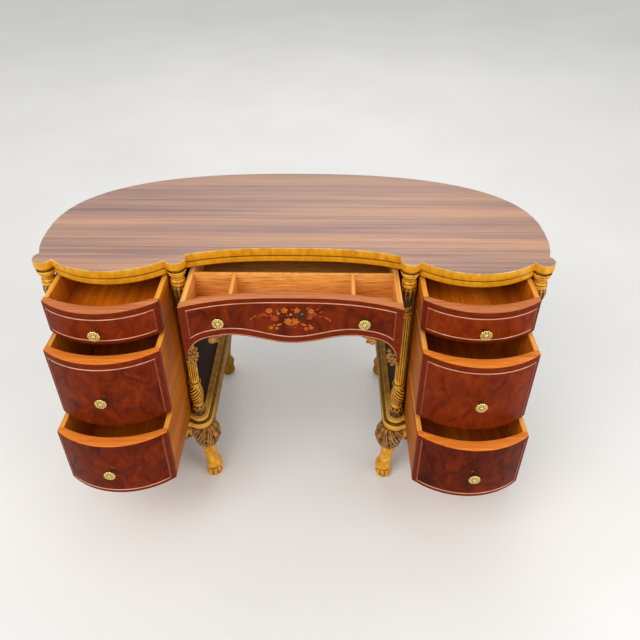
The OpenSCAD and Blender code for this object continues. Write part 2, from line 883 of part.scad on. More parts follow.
module centre_box() {
  color("darkorange") centre_place() translate([0, 0, centre_box_low])
    linear_extrude(centre_box_h) difference() {
      centre_inside(0);
      translate([-centre_half_w + side_t, -big / 2])
        square([2 * (centre_half_w - side_t), big / 2 + centre_back - side_t]);
    }
}

module centre_bottom() {
  color("orange") centre_place() translate([0, 0, centre_box_low + bottom_up])
    linear_extrude(bottom_t) centre_inside(side_t);
}

cross_y = centre_y - centre_sag + cross_back;

module centre_dividers() {
  low = centre_box_low + bottom_up + bottom_t;
  color("orange") centre_place() translate([0, 0, low]) linear_extrude(centre_box_top - low) {
    intersection() {
      centre_inside(side_t);
      union() {
        translate([-big / 2, cross_y]) square([big, divider_t]);
        for (s = [-1, 1]) {
          translate([s * divider_x - divider_t / 2, 0]) square([divider_t, cross_y + 1]);
        }
      }
    }
  }
}

module centre_knobs() {
  color("gold") centre_place() for (s = [-1, 1]) {
    knob(s * centre_knob_x, centre_knob_y - stem_r * 0.3, centre_knob_z, centre_front_t + stem_r * 0.6);
  }
}

// Distance from the middle at which the front's lower edge has come down by a drop beside a lobe
function drop_x(drop) = centre_arch_x + (lobe_in - centre_arch_x)
  * pow(1 - pow((centre_lobe_h - drop) / (centre_lobe_h - centre_arch_h), 2), 1 / centre_lobe_turn);

// Outline of one lobe of a leaf, set square to the front's lower edge at a distance from the middle
module leaf_disc(x, t) {
  r = leaf_r * (1 - 0.35 * t);
  slope = apron_drop(x + 0.5) - apron_drop(x - 0.5);
  k = (r + leaf_gap) / sqrt(1 + slope * slope);
  translate([x - slope * k, centre_top - apron_drop(x) - k]) circle(r = r);
}

// Thickness of a leaf, about the middle of the front's own at a distance from the middle
module leaf_body(x) {
  y = hollow_y(x, centre_y, centre_sag, centre_half_w) + centre_front_t / 2;
  translate([0, y + leaf_t / 2, 0]) rotate([90, 0, 0]) linear_extrude(leaf_t) children();
}

// Leaves that hang under an arch and along the inner edge of the lobe next to it
module centre_carvings() {
  color("goldenrod") centre_place() for (s = [0, 1]) {
    mirror([s, 0, 0]) {
      leaf_body(arch_leaf_x) for (i = [0:leaf_count - 1]) {
        t = i / (leaf_count - 1);
        leaf_disc(arch_leaf_x + (0.5 - t) * arch_leaf, t);
      }
      leaf_body(lobe_in - leaf_r) for (i = [0:leaf_count - 1]) {
        t = i / (leaf_count - 1);
        leaf_disc(drop_x(centre_lobe_h - leaf_r * 0.6 - lobe_leaf * t), t);
      }
    }
  }
}

top_board();
bow_rail("left");  // bow_rail_left
bow_rail("right");  // bow_rail_right
knee_rail();
back_rail();
column(-col_in_x);  // column_inner_left
column(col_in_x);  // column_inner_right
column(-col_out_x);  // column_outer_left
column(col_out_x);  // column_outer_right
front_stiles();
side_panel("left");  // side_panel_left
side_panel("right");  // side_panel_right
curved_panel("left");  // curved_panel_left
curved_panel("right");  // curved_panel_right
back_apron();
runner_frames("left");  // runner_frames_left
runner_frames("right");  // runner_frames_right
centre_runners();
case_bottom("left");  // case_bottom_left
case_bottom("right");  // case_bottom_right
base_moulding("left");  // base_moulding_left
base_moulding("right");  // base_moulding_right
leg("left", col_in_x, 0, inner_front_angle);  // leg_front_inner_left
leg("right", col_in_x, 0, inner_front_angle);  // leg_front_inner_right
leg("left", col_out_x, 0, outer_front_angle);  // leg_front_outer_left
leg("right", col_out_x, 0, outer_front_angle);  // leg_front_outer_right
leg("left", col_in_x, rear_in_y, inner_rear_angle);  // leg_rear_inner_left
leg("right", col_in_x, rear_in_y, inner_rear_angle);  // leg_rear_inner_right
leg("left", rear_out_x, rear_out_y, outer_rear_angle);  // leg_rear_outer_left
leg("right", rear_out_x, rear_out_y, outer_rear_angle);  // leg_rear_outer_right
drawer_front("left", upper, pull_upper_left);  // upper_left_front
drawer_box("left", upper, pull_upper_left);  // upper_left_box
drawer_bottom("left", upper, pull_upper_left);  // upper_left_bottom
drawer_knob("left", upper, pull_upper_left);  // upper_left_knob
drawer_front("left", middle, pull_middle_left);  // middle_left_front
drawer_box("left", middle, pull_middle_left);  // middle_left_box
drawer_bottom("left", middle, pull_middle_left);  // middle_left_bottom
drawer_knob("left", middle, pull_middle_left);  // middle_left_knob
drawer_front("left", lower, pull_lower_left);  // lower_left_front
drawer_box("left", lower, pull_lower_left);  // lower_left_box
drawer_bottom("left", lower, pull_lower_left);  // lower_left_bottom
drawer_knob("left", lower, pull_lower_left);  // lower_left_knob
drawer_front("right", upper, pull_upper_right);  // upper_right_front
drawer_box("right", upper, pull_upper_right);  // upper_right_box
drawer_bottom("right", upper, pull_upper_right);  // upper_right_bottom
drawer_knob("right", upper, pull_upper_right);  // upper_right_knob
drawer_front("right", middle, pull_middle_right);  // middle_right_front
drawer_box("right", middle, pull_middle_right);  // middle_right_box
drawer_bottom("right", middle, pull_middle_right);  // middle_right_bottom
drawer_knob("right", middle, pull_middle_right);  // middle_right_knob
drawer_front("right", lower, pull_lower_right);  // lower_right_front
drawer_box("right", lower, pull_lower_right);  // lower_right_box
drawer_bottom("right", lower, pull_lower_right);  // lower_right_bottom
drawer_knob("right", lower, pull_lower_right);  // lower_right_knob
centre_front();
centre_box();
centre_bottom();
centre_dividers();
centre_knobs();
centre_carvings();
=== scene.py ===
"""Looks of the kidney writing desk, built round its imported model.

Lengths inside the functions are millimetres in the desk's plan: x to the sitter's right, y to the back
with the column axes at y = 0, z up. put() turns them to metres in the frame.
"""
import contextlib
import math

import bpy
import numpy as np
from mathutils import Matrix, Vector


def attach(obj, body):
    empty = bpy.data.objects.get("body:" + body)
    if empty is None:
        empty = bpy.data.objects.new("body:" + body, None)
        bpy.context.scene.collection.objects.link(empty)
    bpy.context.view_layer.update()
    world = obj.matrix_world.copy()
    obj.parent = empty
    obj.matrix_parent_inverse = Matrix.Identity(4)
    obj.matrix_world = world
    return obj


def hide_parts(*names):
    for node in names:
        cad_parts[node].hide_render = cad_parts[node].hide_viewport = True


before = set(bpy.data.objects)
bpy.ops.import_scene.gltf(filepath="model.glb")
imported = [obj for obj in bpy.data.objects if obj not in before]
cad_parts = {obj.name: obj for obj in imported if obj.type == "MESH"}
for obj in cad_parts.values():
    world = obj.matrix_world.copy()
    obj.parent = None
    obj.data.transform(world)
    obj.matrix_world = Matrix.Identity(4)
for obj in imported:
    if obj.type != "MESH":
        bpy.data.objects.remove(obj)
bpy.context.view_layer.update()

MM = 0.001
MID_Y = 80.5  # the plan's y that lies at y = 0 in the frame
SIGN = {"left": -1, "right": 1}

# The column axes, and the bow that rail, drawer fronts and base follow between them
COL_IN, COL_OUT = 282, 598
BOW_X = (COL_IN + COL_OUT) / 2
BOW_REACH, BOW_HALF = 58.5, 145.4
BOW_R = (BOW_HALF ** 2 + BOW_REACH ** 2) / (2 * BOW_REACH)
BOW_CY = BOW_R - BOW_REACH

# The kidney's oval about (0, OVAL_CY), and how far inside it the line of the bases runs
OVAL_X, OVAL_Y, OVAL_CY, OVAL_POWER = 632, 341, 129, 2.42
BASE_LINE = 33

# Heights of the board's top face and lower edge, and of the groove that parts it from the rails
TOP_Z, BOARD_LOW, GROOVE_TOP = 762, 738, 741.5

# Pedestal drawers: half width, boards, heights of the fronts and knobs, and how far each is out at rest
FRONT_R = BOW_R - 3.5
HALF_W, SIDE_T, BOX_BACK = 134.5, 12, 330
FRONT_BACK = BOW_CY - math.sqrt(FRONT_R ** 2 - HALF_W ** 2) + 14
FRONT_MID_T = 32
LEVELS = {"upper": (629, 716.5), "middle": (419.2, 618.2), "lower": (238.3, 408.4)}
KNOB_Z = {"upper": 672.75, "middle": 518.7, "lower": 334.35}
PULLS = {"upper_left": 108, "middle_left": 167, "lower_left": 226,
         "upper_right": 93, "middle_right": 167, "lower_right": 226}

# Centre drawer: pull, the hollow of its plan, and the drops of its shaped lower edge
CENTRE_PULL, CENTRE_TOP = 150, 717.5
CENTRE_HALF, CENTRE_Y, CENTRE_SAG, CENTRE_T = 256, 53, 42, 24
ARCH_X, LOBE_IN = 168, 250
MID_H, ARCH_H, LOBE_H, LOBE_TURN = 134, 102, 168, 4.4


# ---- working on meshes

def only(obj):
    """Selects one object and nothing else."""
    bpy.ops.object.select_all(action="DESELECT")
    obj.select_set(True)
    bpy.context.view_layer.objects.active = obj


@contextlib.contextmanager
def edit_mode(obj):
    """Edit mode with all of one object selected, and object mode again after it."""
    only(obj)
    bpy.ops.object.mode_set(mode="EDIT")
    bpy.ops.mesh.select_all(action="SELECT")
    yield
    bpy.ops.object.mode_set(mode="OBJECT")


def points(obj):
    co = np.empty(len(obj.data.vertices) * 3)
    obj.data.vertices.foreach_get("co", co)
    return co.reshape(-1, 3)


def put(obj, plan):
    """Sets an object's vertices from plan millimetres."""
    co = np.array(plan, float) * MM
    co[:, 1] -= MID_Y * MM
    obj.data.vertices.foreach_set("co", co.ravel())
    obj.data.update()


def plan_of(obj):
    """An object's vertices in plan millimetres."""
    co = points(obj) / MM
    co[:, 1] += MID_Y
    return co


def mark(obj, name, values):
    """Writes one number, or one vector, per vertex, which the finishes read."""
    values = np.asarray(values, np.float32)
    kind, field = ("FLOAT", "value") if values.ndim == 1 else ("FLOAT_VECTOR", "vector")
    layer = obj.data.attributes.get(name) or obj.data.attributes.new(name, kind, "POINT")
    layer.data.foreach_set(field, values.ravel())


def primitive(name, make, **settings):
    """One of Blender's own starting shapes, added with nothing else selected."""
    bpy.ops.object.select_all(action="DESELECT")
    make(**settings)
    obj = bpy.context.object
    obj.name = obj.data.name = name
    return obj


def board(name, across, along):
    """A flat grid, the start of every carved or bowed piece, and how far across and along its points lie."""
    obj = primitive(name, bpy.ops.mesh.primitive_grid_add, size=1,
                    x_subdivisions=across, y_subdivisions=along)
    u, v = points(obj)[:, :2].T + 0.5
    return obj, u, v


def close_up(obj, gap=0.01):
    """Welds seams and poles and turns the faces outwards."""
    with edit_mode(obj):
        bpy.ops.mesh.remove_doubles(threshold=gap * MM)
        bpy.ops.mesh.normals_make_consistent(inside=False)


def wrap(name, around, along, shape):
    """A grid bent to a closed form: shape(u, v) gives plan points and how deep in a hollow each lies."""
    obj, u, v = board(name, around, along)
    plan, recess = shape(u, v)
    put(obj, plan)
    mark(obj, "recess", recess)
    close_up(obj)
    return obj


def ease_edges(obj, width, segments=2, angle=35):
    """Bevels the sharp edges, as sandpaper and wear do."""
    only(obj)
    soft = obj.modifiers.new("worn edges", "BEVEL")
    soft.width = width * MM
    soft.segments = segments
    soft.limit_method = "ANGLE"
    soft.angle_limit = math.radians(angle)
    bpy.ops.object.modifier_apply(modifier=soft.name)


def shade(obj, angle):
    only(obj)
    bpy.ops.object.shade_smooth_by_angle(angle=math.radians(angle))


def joined(pieces, name):
    """Makes several objects one."""
    only(pieces[0])
    for piece in pieces:
        piece.select_set(True)
    bpy.ops.object.join()
    pieces[0].name = pieces[0].data.name = name
    return pieces[0]


def joiner_copy(node, name, ease=0, angle=35):
    """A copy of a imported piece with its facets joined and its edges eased."""
    obj = bpy.data.objects.new(name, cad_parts[node].data.copy())
    obj.data.name = name
    bpy.context.scene.collection.objects.link(obj)
    only(obj)
    bpy.ops.mesh.customdata_custom_splitnormals_clear()
    with edit_mode(obj):
        bpy.ops.mesh.remove_doubles(threshold=0.004 * MM)
        bpy.ops.mesh.dissolve_limited(angle_limit=math.radians(0.6))
    if ease:
        ease_edges(obj, ease, angle=angle)
    return obj


def dress(obj, body, slot, finishes, *nodes, pick=None):
    """Gives a piece its finishes and body, and hides the imported nodes it replaces; slot is not used.
    pick(centres, normals) chooses a finish per face.
    """
    obj.data.materials.clear()
    for finish in finishes:
        obj.data.materials.append(finish)
    chosen = np.zeros(len(obj.data.polygons), np.int32)
    if pick:
        centres, normals = np.empty(len(chosen) * 3), np.empty(len(chosen) * 3)
        obj.data.polygons.foreach_get("center", centres)
        obj.data.polygons.foreach_get("normal", normals)
        centres = centres.reshape(-1, 3) / MM + np.array([0, MID_Y, 0])
        chosen = np.asarray(pick(centres, normals.reshape(-1, 3)), np.int32)
    obj.data.polygons.foreach_set("material_index", chosen)
    if nodes:
        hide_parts(*nodes)
    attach(obj, body)


def dress_copy(node, name, body, slot, finishes, ease=0.8, angle=35, pick=None):
    """A piece that the joiner leaves flat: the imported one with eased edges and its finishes."""
    piece = joiner_copy(node, name, ease, angle)
    shade(piece, 30)
    dress(piece, body, slot, finishes, node, pick=pick)


def through(keys, values, at):
    """A smooth curve through given points."""
    keys, values = np.asarray(keys, float), np.asarray(values, float)
    at = np.clip(at, keys[0], keys[-1])
    slope = np.gradient(values, keys)
    i = np.clip(np.searchsorted(keys, at, side="right") - 1, 0, len(keys) - 2)
    h = keys[i + 1] - keys[i]
    t = (at - keys[i]) / h
    return ((2 * t ** 3 - 3 * t ** 2 + 1) * values[i] + (t ** 3 - 2 * t ** 2 + t) * h * slope[i]
            + (3 * t ** 2 - 2 * t ** 3) * values[i + 1] + (t ** 3 - t ** 2) * h * slope[i + 1])


def step(low, high, at):
    """Goes softly from 0 at low to 1 at high, which may lie below low."""
    t = np.clip((at - low) / (high - low), 0, 1)
    return t * t * (3 - 2 * t)


def between(low, full_low, full_high, high, at):
    """1 from full_low to full_high, and softly down to 0 at low and high."""
    return step(low, full_low, at) * (1 - step(full_high, high, at))


def route(corners, counts):
    """Points along straight runs from corner to corner, so many to a run."""
    line = [(a + (c - a) * k / count, b + (d - b) * k / count)
            for (a, b), (c, d), count in zip(corners, corners[1:], counts) for k in range(count)]
    return line + [corners[-1]]


# ---- finishes

SHARE, UNDER, OVER = 0, 6, 7  # the sockets of a Mix of colours


def tint(code):
    """A screen colour, as hex, in the linear light that the shaders want."""
    parts = [int(code[i:i + 2], 16) / 255 for i in (1, 3, 5)]
    return [p / 12.92 if p <= 0.04045 else ((p + 0.055) / 1.055) ** 2.4 for p in parts] + [1]


def add(material, kind, feeds=None, stops=(), **settings):
    """Adds a shader node: settings are its properties, stops a ramp's colours with both ends first, and feeds
    its sockets' values or links, where a node stands for its first output in use."""
    tree = material.node_tree
    node = tree.nodes.new("ShaderNode" + kind)
    for key, value in settings.items():
        setattr(node, key, value)
    for socket, value in (feeds or {}).items():
        if isinstance(value, bpy.types.Node):
            value = next(out for out in value.outputs if out.enabled)
        if isinstance(value, bpy.types.NodeSocket):
            tree.links.new(value, node.inputs[socket])
        else:
            node.inputs[socket].default_value = tint(value) if isinstance(value, str) else value
    for place, (where, colour) in enumerate(stops):
        ramp = node.color_ramp.elements
        stop = ramp[place] if place < 2 else ramp.new(where)
        stop.position = where
        stop.color = tint(colour)
    return node


def new_finish(name):
    finish = bpy.data.materials.new(name)
    finish.use_nodes = True
    finish.node_tree.nodes.clear()
    return finish


def grain_noise(finish, axis, across, along, detail=5, bend=0, offset=0):
    """Noise drawn out along one axis; across and along are its real sizes in millimetres."""
    place = add(finish, "TexCoord").outputs["Object"]
    scale = [1 / (across * MM)] * 3
    scale["XYZ".index(axis)] = 1 / (along * MM)
    moved = [offset, offset * 0.7, offset * 1.3]
    mapped = add(finish, "Mapping", {"Vector": place, "Scale": scale, "Location": moved})
    return add(finish, "TexNoise",
               {"Vector": mapped, "Scale": 1, "Detail": detail, "Roughness": 0.55, "Distortion": bend})


def blended(finish, first, share, second):
    """Two noises in one: a share of the first and the rest of the second."""
    part = add(finish, "Math", {0: first, 1: share, 2: 0}, operation="MULTIPLY_ADD")
    return add(finish, "Math", {0: second, 1: 1 - share, 2: part}, operation="MULTIPLY_ADD")


def pored(finish, tone, pores, low, high, least, most=1):
    """A tone that fine noise darkens: from low to high of the noise it is scaled by least to most."""
    fine = add(finish, "MapRange",
               {"Value": pores, "From Min": low, "From Max": high, "To Min": least, "To Max": most})
    return add(finish, "VectorMath", {0: tone, "Scale": fine}, operation="SCALE"), fine


def polish(finish, colour, rough, bump=None, bump_mm=0.05, metallic=0, shine=0.3):
    """The surface shader. rough is a number or a (low, high, noise) range, bump a noise of a given depth."""
    feeds = {"Base Color": colour, "Metallic": metallic, "Specular IOR Level": shine, "Roughness": rough}
    if isinstance(rough, tuple):
        low, high, noise = rough
        feeds["Roughness"] = add(finish, "MapRange", {"Value": noise, "To Min": low, "To Max": high})
    if bump is not None:
        feeds["Normal"] = add(finish, "Bump", {"Height": bump, "Strength": 0.6, "Distance": bump_mm * MM})
    add(finish, "OutputMaterial", {"Surface": add(finish, "BsdfPrincipled", feeds)})
    return finish


def wood(name, axis, dark, mid, light, stripe=9, length=420, pore=0.9, rough=(0.38, 0.55), offset=0,
         bend=0.4, depth=0.45, shine=0.14):
    """Boards under varnish: soft stripes along an axis, and fine pores the same way, darker by depth."""
    finish = new_finish(name)
    stripes = grain_noise(finish, axis, stripe, length, detail=4, bend=bend, offset=offset)
    toned = add(finish, "ValToRGB", {"Fac": stripes}, stops=[(0.28, dark), (0.72, light), (0.5, mid)])
    pores = grain_noise(finish, axis, pore, pore * 40, detail=2, offset=offset + 3)
    colour, relief = pored(finish, toned, pores, 0.34, 0.56, 1 - depth)
    return polish(finish, colour, (*rough, stripes), relief, 0.06, shine=shine)


def rosewood_top():
    """Ribbon-striped rosewood veneer in satin lacquer: long straight stripes from side to side."""
    finish = new_finish("rosewood_veneer_satin_lacquer")
    broad = grain_noise(finish, "X", 52, 1100, detail=3, bend=0.5, offset=2)
    narrow = grain_noise(finish, "X", 7, 900, bend=0.25, offset=5)
    both = blended(finish, broad, 0.55, narrow)
    toned = add(finish, "ValToRGB", {"Fac": both}, stops=[
        (0.34, "#7C6056"), (0.64, "#BC8E6E"), (0.43, "#957164"), (0.50, "#A47C68"), (0.57, "#B48668")])
    pores = grain_noise(finish, "X", 1.6, 90, detail=3, offset=9)
    colour, relief = pored(finish, toned, pores, 0.36, 0.6, 0.88, 1.03)
    return polish(finish, colour, (0.40, 0.52, both), relief, 0.03, shine=0.45)


def gilding(name, low, mid, high, hollow="#3C1E06", crest="#F6D88E", metallic=0.15, rough=(0.30, 0.46),
            wear=0, shine=0.28):
    """Gold paint over gesso, rubbed pale on the crests and paler there as painted highlight, with brown glaze
    that stays in the hollows and is deepened there as painted shade. The attribute recess is 1 in a hollow
    and below 0 on a crest."""
    finish = new_finish(name)
    patch = grain_noise(finish, "Z", 14, 22, bend=0.6)
    toned = add(finish, "ValToRGB", {"Fac": patch}, stops=[(0.3, low), (0.7, high), (0.5, mid)])
    depth = add(finish, "Attribute", attribute_name="recess").outputs["Fac"]
    # below 0 the recess mixes in the crest colour: rubbed gilt and painted highlight
    worn = add(finish, "MapRange",
               {"Value": depth, "From Min": -1, "From Max": 0, "To Min": 1, "To Max": 0})
    lit = add(finish, "Mix", {SHARE: worn, UNDER: toned, OVER: crest}, data_type="RGBA")
    speck = grain_noise(finish, "Z", 2.2, 3, detail=3, offset=4)
    rub = add(finish, "Math", {0: speck, 1: 0.5}, operation="SUBTRACT")
    # speckled wear, and the recess as glaze and painted shade in the hollows
    rubbed = add(finish, "Math", {0: rub, 1: 0.7, 2: depth}, operation="MULTIPLY_ADD")
    glaze_and_shade_share = add(finish, "MapRange", {"Value": rubbed, "From Min": 0.18 - wear, "From Max": 0.8})
    aged_and_shaded = add(finish, "Mix", {SHARE: glaze_and_shade_share, UNDER: lit, OVER: hollow}, data_type="RGBA")
    return polish(finish, aged_and_shaded, (*rough, speck), speck, 0.12, metallic, shine)


def figured_front(name, offset, dull):
    """Crotch mahogany under worn gloss varnish: a feather of flame figure inside a straight-grained band.

    The attribute from_edge is 1 at the bead and less in the band. flame holds how far along and across the
    rays of the feather a point lies, and how near its dark core.
    """
    finish = new_finish(name)
    edge = add(finish, "Attribute", attribute_name="from_edge").outputs["Fac"]
    flame = add(finish, "Attribute", attribute_name="flame").outputs["Vector"]
    wander = add(finish, "Mapping", {"Vector": flame, "Location": [offset, offset * 0.6, 0]})
    broad = add(finish, "TexNoise",
                {"Vector": wander, "Scale": 1, "Detail": 5, "Roughness": 0.6, "Distortion": 1.1})
    place = add(finish, "TexCoord").outputs["Object"]
    moved = add(finish, "Mapping",
                {"Vector": place, "Location": [offset, 0, 0], "Scale": [1, 1, 0.7]})
    cloud = add(finish, "TexNoise",  # clouds about 40 mm across
                {"Vector": moved, "Scale": 24, "Detail": 6, "Roughness": 0.6, "Distortion": 1.2})
    both = blended(finish, cloud, 0.45, broad)
    core = add(finish, "SeparateXYZ", {"Vector": flame}).outputs["Z"]
    darker = add(finish, "Math", {0: core, 1: 0.13, 2: dull}, operation="MULTIPLY_ADD")
    shift = add(finish, "Math", {0: both, 1: darker}, operation="SUBTRACT")
    toned = add(finish, "ValToRGB", {"Fac": shift}, stops=[
        (0.34, "#3A1206"), (0.68, "#A2440E"), (0.44, "#601E08"), (0.52, "#762808"), (0.60, "#88320A")])
    rays = grain_noise(finish, "Z", 1.8, 34, detail=3, bend=0.5, offset=offset)
    field, _ = pored(finish, toned, rays, 0.3, 0.65, 0.80, 1.06)
    straight = grain_noise(finish, "X", 4, 200, detail=4, offset=offset + 2)
    band = add(finish, "ValToRGB", {"Fac": straight}, stops=[(0.3, "#561806"), (0.7, "#76280A")])
    inside = add(finish, "Math", {0: edge, 1: 1}, operation="GREATER_THAN")
    banded = add(finish, "Mix", {SHARE: inside, UNDER: band, OVER: field}, data_type="RGBA")
    return polish(finish, banded, (0.32, 0.44, cloud), rays, 0.03, shine=0.04)


def cast_brass():
    """Lacquered cast brass, darker in the piercings of the rosette, round its boss and on its stem, as
    painted shade.
    """
    finish = new_finish("cast_brass_lacquered")
    patch = grain_noise(finish, "Z", 4, 4, detail=3)
    toned = add(finish, "ValToRGB", {"Fac": patch}, stops=[(0.3, "#D2AE50"), (0.7, "#F4E096")])
    depth = add(finish, "Attribute", attribute_name="recess").outputs["Fac"]
    aged_and_shaded = add(finish, "Mix", {SHARE: depth, UNDER: toned, OVER: "#5A3C10"}, data_type="RGBA")
    return polish(finish, aged_and_shaded, (0.2, 0.34, patch), patch, metallic=0.9)


TOP = rosewood_top()
BRASS = cast_brass()

# Gold paint: even on the columns, flatter and brighter along the edge of the top and the rails
GOLD = gilding("gold_paint_antiqued", "#B4760F", "#D6951D", "#EDB840")
GOLD_EDGE = gilding("gold_paint_bright_edge", "#C2800C", "#D69114", "#E2A322", metallic=0.08)
# dull and soiled on the bases, rear legs and stiles, and darker there as painted shade; coppery under pale
# crests on the carving, the crests partly painted highlights
GOLD_DULL_SHADED = gilding("gold_paint_dull_shaded_base", "#7A5210", "#956A18", "#AC7E28", hollow="#3C2208", crest="#E0A84A",
                   wear=0.02, rough=(0.45, 0.6), shine=0.1)
CARVED = gilding("gold_paint_over_carving", "#8E5C20", "#A8722E", "#C08A44", hollow="#46260C",
                 crest="#F6DCA8", rough=(0.34, 0.5))
# rubbed through to grey gesso on the arris of the top, paler there as a painted highlight, and dark brown in
# the groove below as painted shade
ARRIS = gilding("rubbed_arris_painted_highlight", "#8E8250", "#B8A878", "#DCCB98", metallic=0, rough=(0.45, 0.6))
GROOVE = gilding("groove_painted_shade", "#5A3208", "#74430A", "#8E560E", metallic=0)

# Flame mahogany, each front from its own place in the veneer and a little lighter or darker
FRONTS = {key: figured_front(f"crotch_mahogany_{key}", 3.1 * shift, dull)
          for shift, (key, dull) in enumerate(zip(PULLS, (-0.05, 0, 0.05, 0.01, 0.015, 0.05)))}
CENTRE_FACE = figured_front("crotch_mahogany_centre", 27.3, 0.01)
# The beads: polished red mahogany, paler on the upper side as a painted highlight
BEADING = wood("mahogany_astragal_polished", "X", "#6E2814", "#843620", "#96482C", stripe=6, length=80,
               rough=(0.25, 0.35), depth=0.06, shine=0.3)
BEAD_HIGHLIGHT = wood("mahogany_astragal_painted_highlight", "X", "#B07250", "#C68A68", "#D49C7C", stripe=6,
                length=80, rough=(0.3, 0.4), depth=0.06, shine=0.3)
# Edges of the fronts: brown under lacquer, orange where only oiled, dark end grain at the sides
TOP_EDGE = wood("mahogany_lacquered_upper_edge", "X", "#A45630", "#BC6C3A", "#CC804E", stripe=7, depth=0.3)
WARM_EDGE = wood("mahogany_oiled_edge", "X", "#C8681E", "#DE7A28", "#EA8C3A", stripe=8, depth=0.3)
ENDS = wood("mahogany_front_ends", "Z", "#551A0C", "#6E2610", "#823414", stripe=5)
# Pedestal drawers: close-grained beech, browner outside, with an orange stain inside
SIDES = wood("varnished_beech_drawer_sides", "Y", "#984C0A", "#B05E0C", "#C27018", stripe=24, depth=0.2,
             shine=0.1)
RIMS = wood("varnished_beech_rims", "Y", "#C87C26", "#DE9436", "#EAA850", stripe=8, depth=0.25)
LININGS = wood("orange_stained_linings", "Z", "#A4500C", "#C4640E", "#DA7A1C", stripe=12, length=300,
               depth=0.3)
FLOORS = wood("orange_stained_drawer_bottoms", "Y", "#BC5A0A", "#DC6E0E", "#EE841E", stripe=22, depth=0.3)
# Centre drawer: waxed oak, honey coloured with wavy grain and open pores
OAK = wood("red_oak_waxed", "X", "#AE5E1E", "#E69A44", "#F2B266", stripe=5, length=120, bend=2.2,
           pore=1.3, depth=0.3)
OAK_SIDE = wood("red_oak_waxed_sides", "Y", "#AE5E1E", "#E69A44", "#F2B266", stripe=5, length=120,
                bend=2, depth=0.3)
OAK_RIM = wood("red_oak_planed_rims", "Y", "#CC8434", "#E09A48", "#ECAE62", stripe=8, depth=0.1)
# Case: near-black matt panels in the knee-hole, red veneer round the outside, plain poplar out of sight
DARK_PANEL = wood("near_black_birch_panel", "Z", "#1E120A", "#291A10", "#352417", stripe=18,
                  rough=(0.55, 0.7), shine=0.03)
VENEERED = wood("mahogany_veneered_case", "Z", "#571D0D", "#762D14", "#93401E", stripe=16,
                rough=(0.32, 0.45))
CARCASS = wood("stained_poplar_carcass", "X", "#7A4514", "#93581E", "#AA6C2C", stripe=16)


# ---- top and rails

def dress_top():
    """The board, with the groove that parts its gilt edge from the rail below."""
    groove_in = 2.6
    top = joiner_copy("top_board", "kidney_top")
    plan = plan_of(top)
    plan[plan[:, 2] < BOARD_LOW + 1, 2] = GROOVE_TOP
    put(top, plan)
    with edit_mode(top):
        bpy.ops.mesh.select_all(action="DESELECT")
    for face in top.data.polygons:
        face.select = face.normal.z < -0.9
    bpy.ops.object.mode_set(mode="EDIT")
    bpy.ops.mesh.inset(thickness=groove_in * MM, use_boundary=True)
    bpy.ops.mesh.extrude_region_move(TRANSFORM_OT_translate={"value": (0, 0, (BOARD_LOW - GROOVE_TOP) * MM)})
    bpy.ops.object.mode_set(mode="OBJECT")
    ease_edges(top, 2, 3, 50)
    shade(top, 30)

    # the upper arris takes the rubbed finish with its painted highlight, and the groove its painted shade
    def pick(centre, normal):
        up, z = normal[:, 2], centre[:, 2]
        face = (up > 0.98) & (z > TOP_Z - 0.2)
        return np.select([face, up > 0.3, z < BOARD_LOW + 0.3, z < GROOVE_TOP + 0.3], [0, 2, 3, 4], 1)
    dress(top, "desk", "veneer", [TOP, GOLD_EDGE, ARRIS, CARCASS, GROOVE], "top_board", pick=pick)


def dress_rail(node):
    """A gilt rail whose flat band comes up to the board, with a soft lip along its lower edge."""
    rail = joiner_copy(node, node + "_moulded")
    plan = plan_of(rail)
    band_top = (plan[:, 2] > BOARD_LOW - 6) & (plan[:, 2] < BOARD_LOW - 1)
    plan[band_top, 2] = BOARD_LOW - 0.4
    put(rail, plan)
    ease_edges(rail, 2.2, 4, 50)
    shade(rail, 35)
    dress(rail, "desk", "gilt", [GOLD_EDGE], node)


# ---- columns

FLUTES, REEDS, CUP_LEAVES, SCALLOPS, VASE_LEAVES, PEARLS = 12, 8, 8, 14, 11, 16
REED_LOW, REED_RUN, REED_TURN = 286, 66, math.radians(270)
# painted highlights on the bright rings of the head
RING_HIGHLIGHTS = ((703.2, 2.8), (721.5, 2.2), (728.9, 3))  # the middle and half height of each
# the lower and upper edge of each fine groove between the mouldings, darkened as painted shade
FINE_GROOVES = (
    (688.2, 689.2), (698.4, 699.8), (706.6, 708.4), (718, 719.2), (724.2, 725.4), (733.4, 738),
    (350.2, 351.6), (363.2, 366), (276, 277.4), (285.4, 287), (602.8, 605))


def bead(low, high, inner, outer, count=7):
    """Half-round moulding between two heights, as (z, radius) points."""
    turn = np.radians(np.linspace(-85, 85, count))
    return [((low + high) / 2 + (high - low) / 2 * math.sin(a), inner + (outer - inner) * math.cos(a))
            for a in turn]


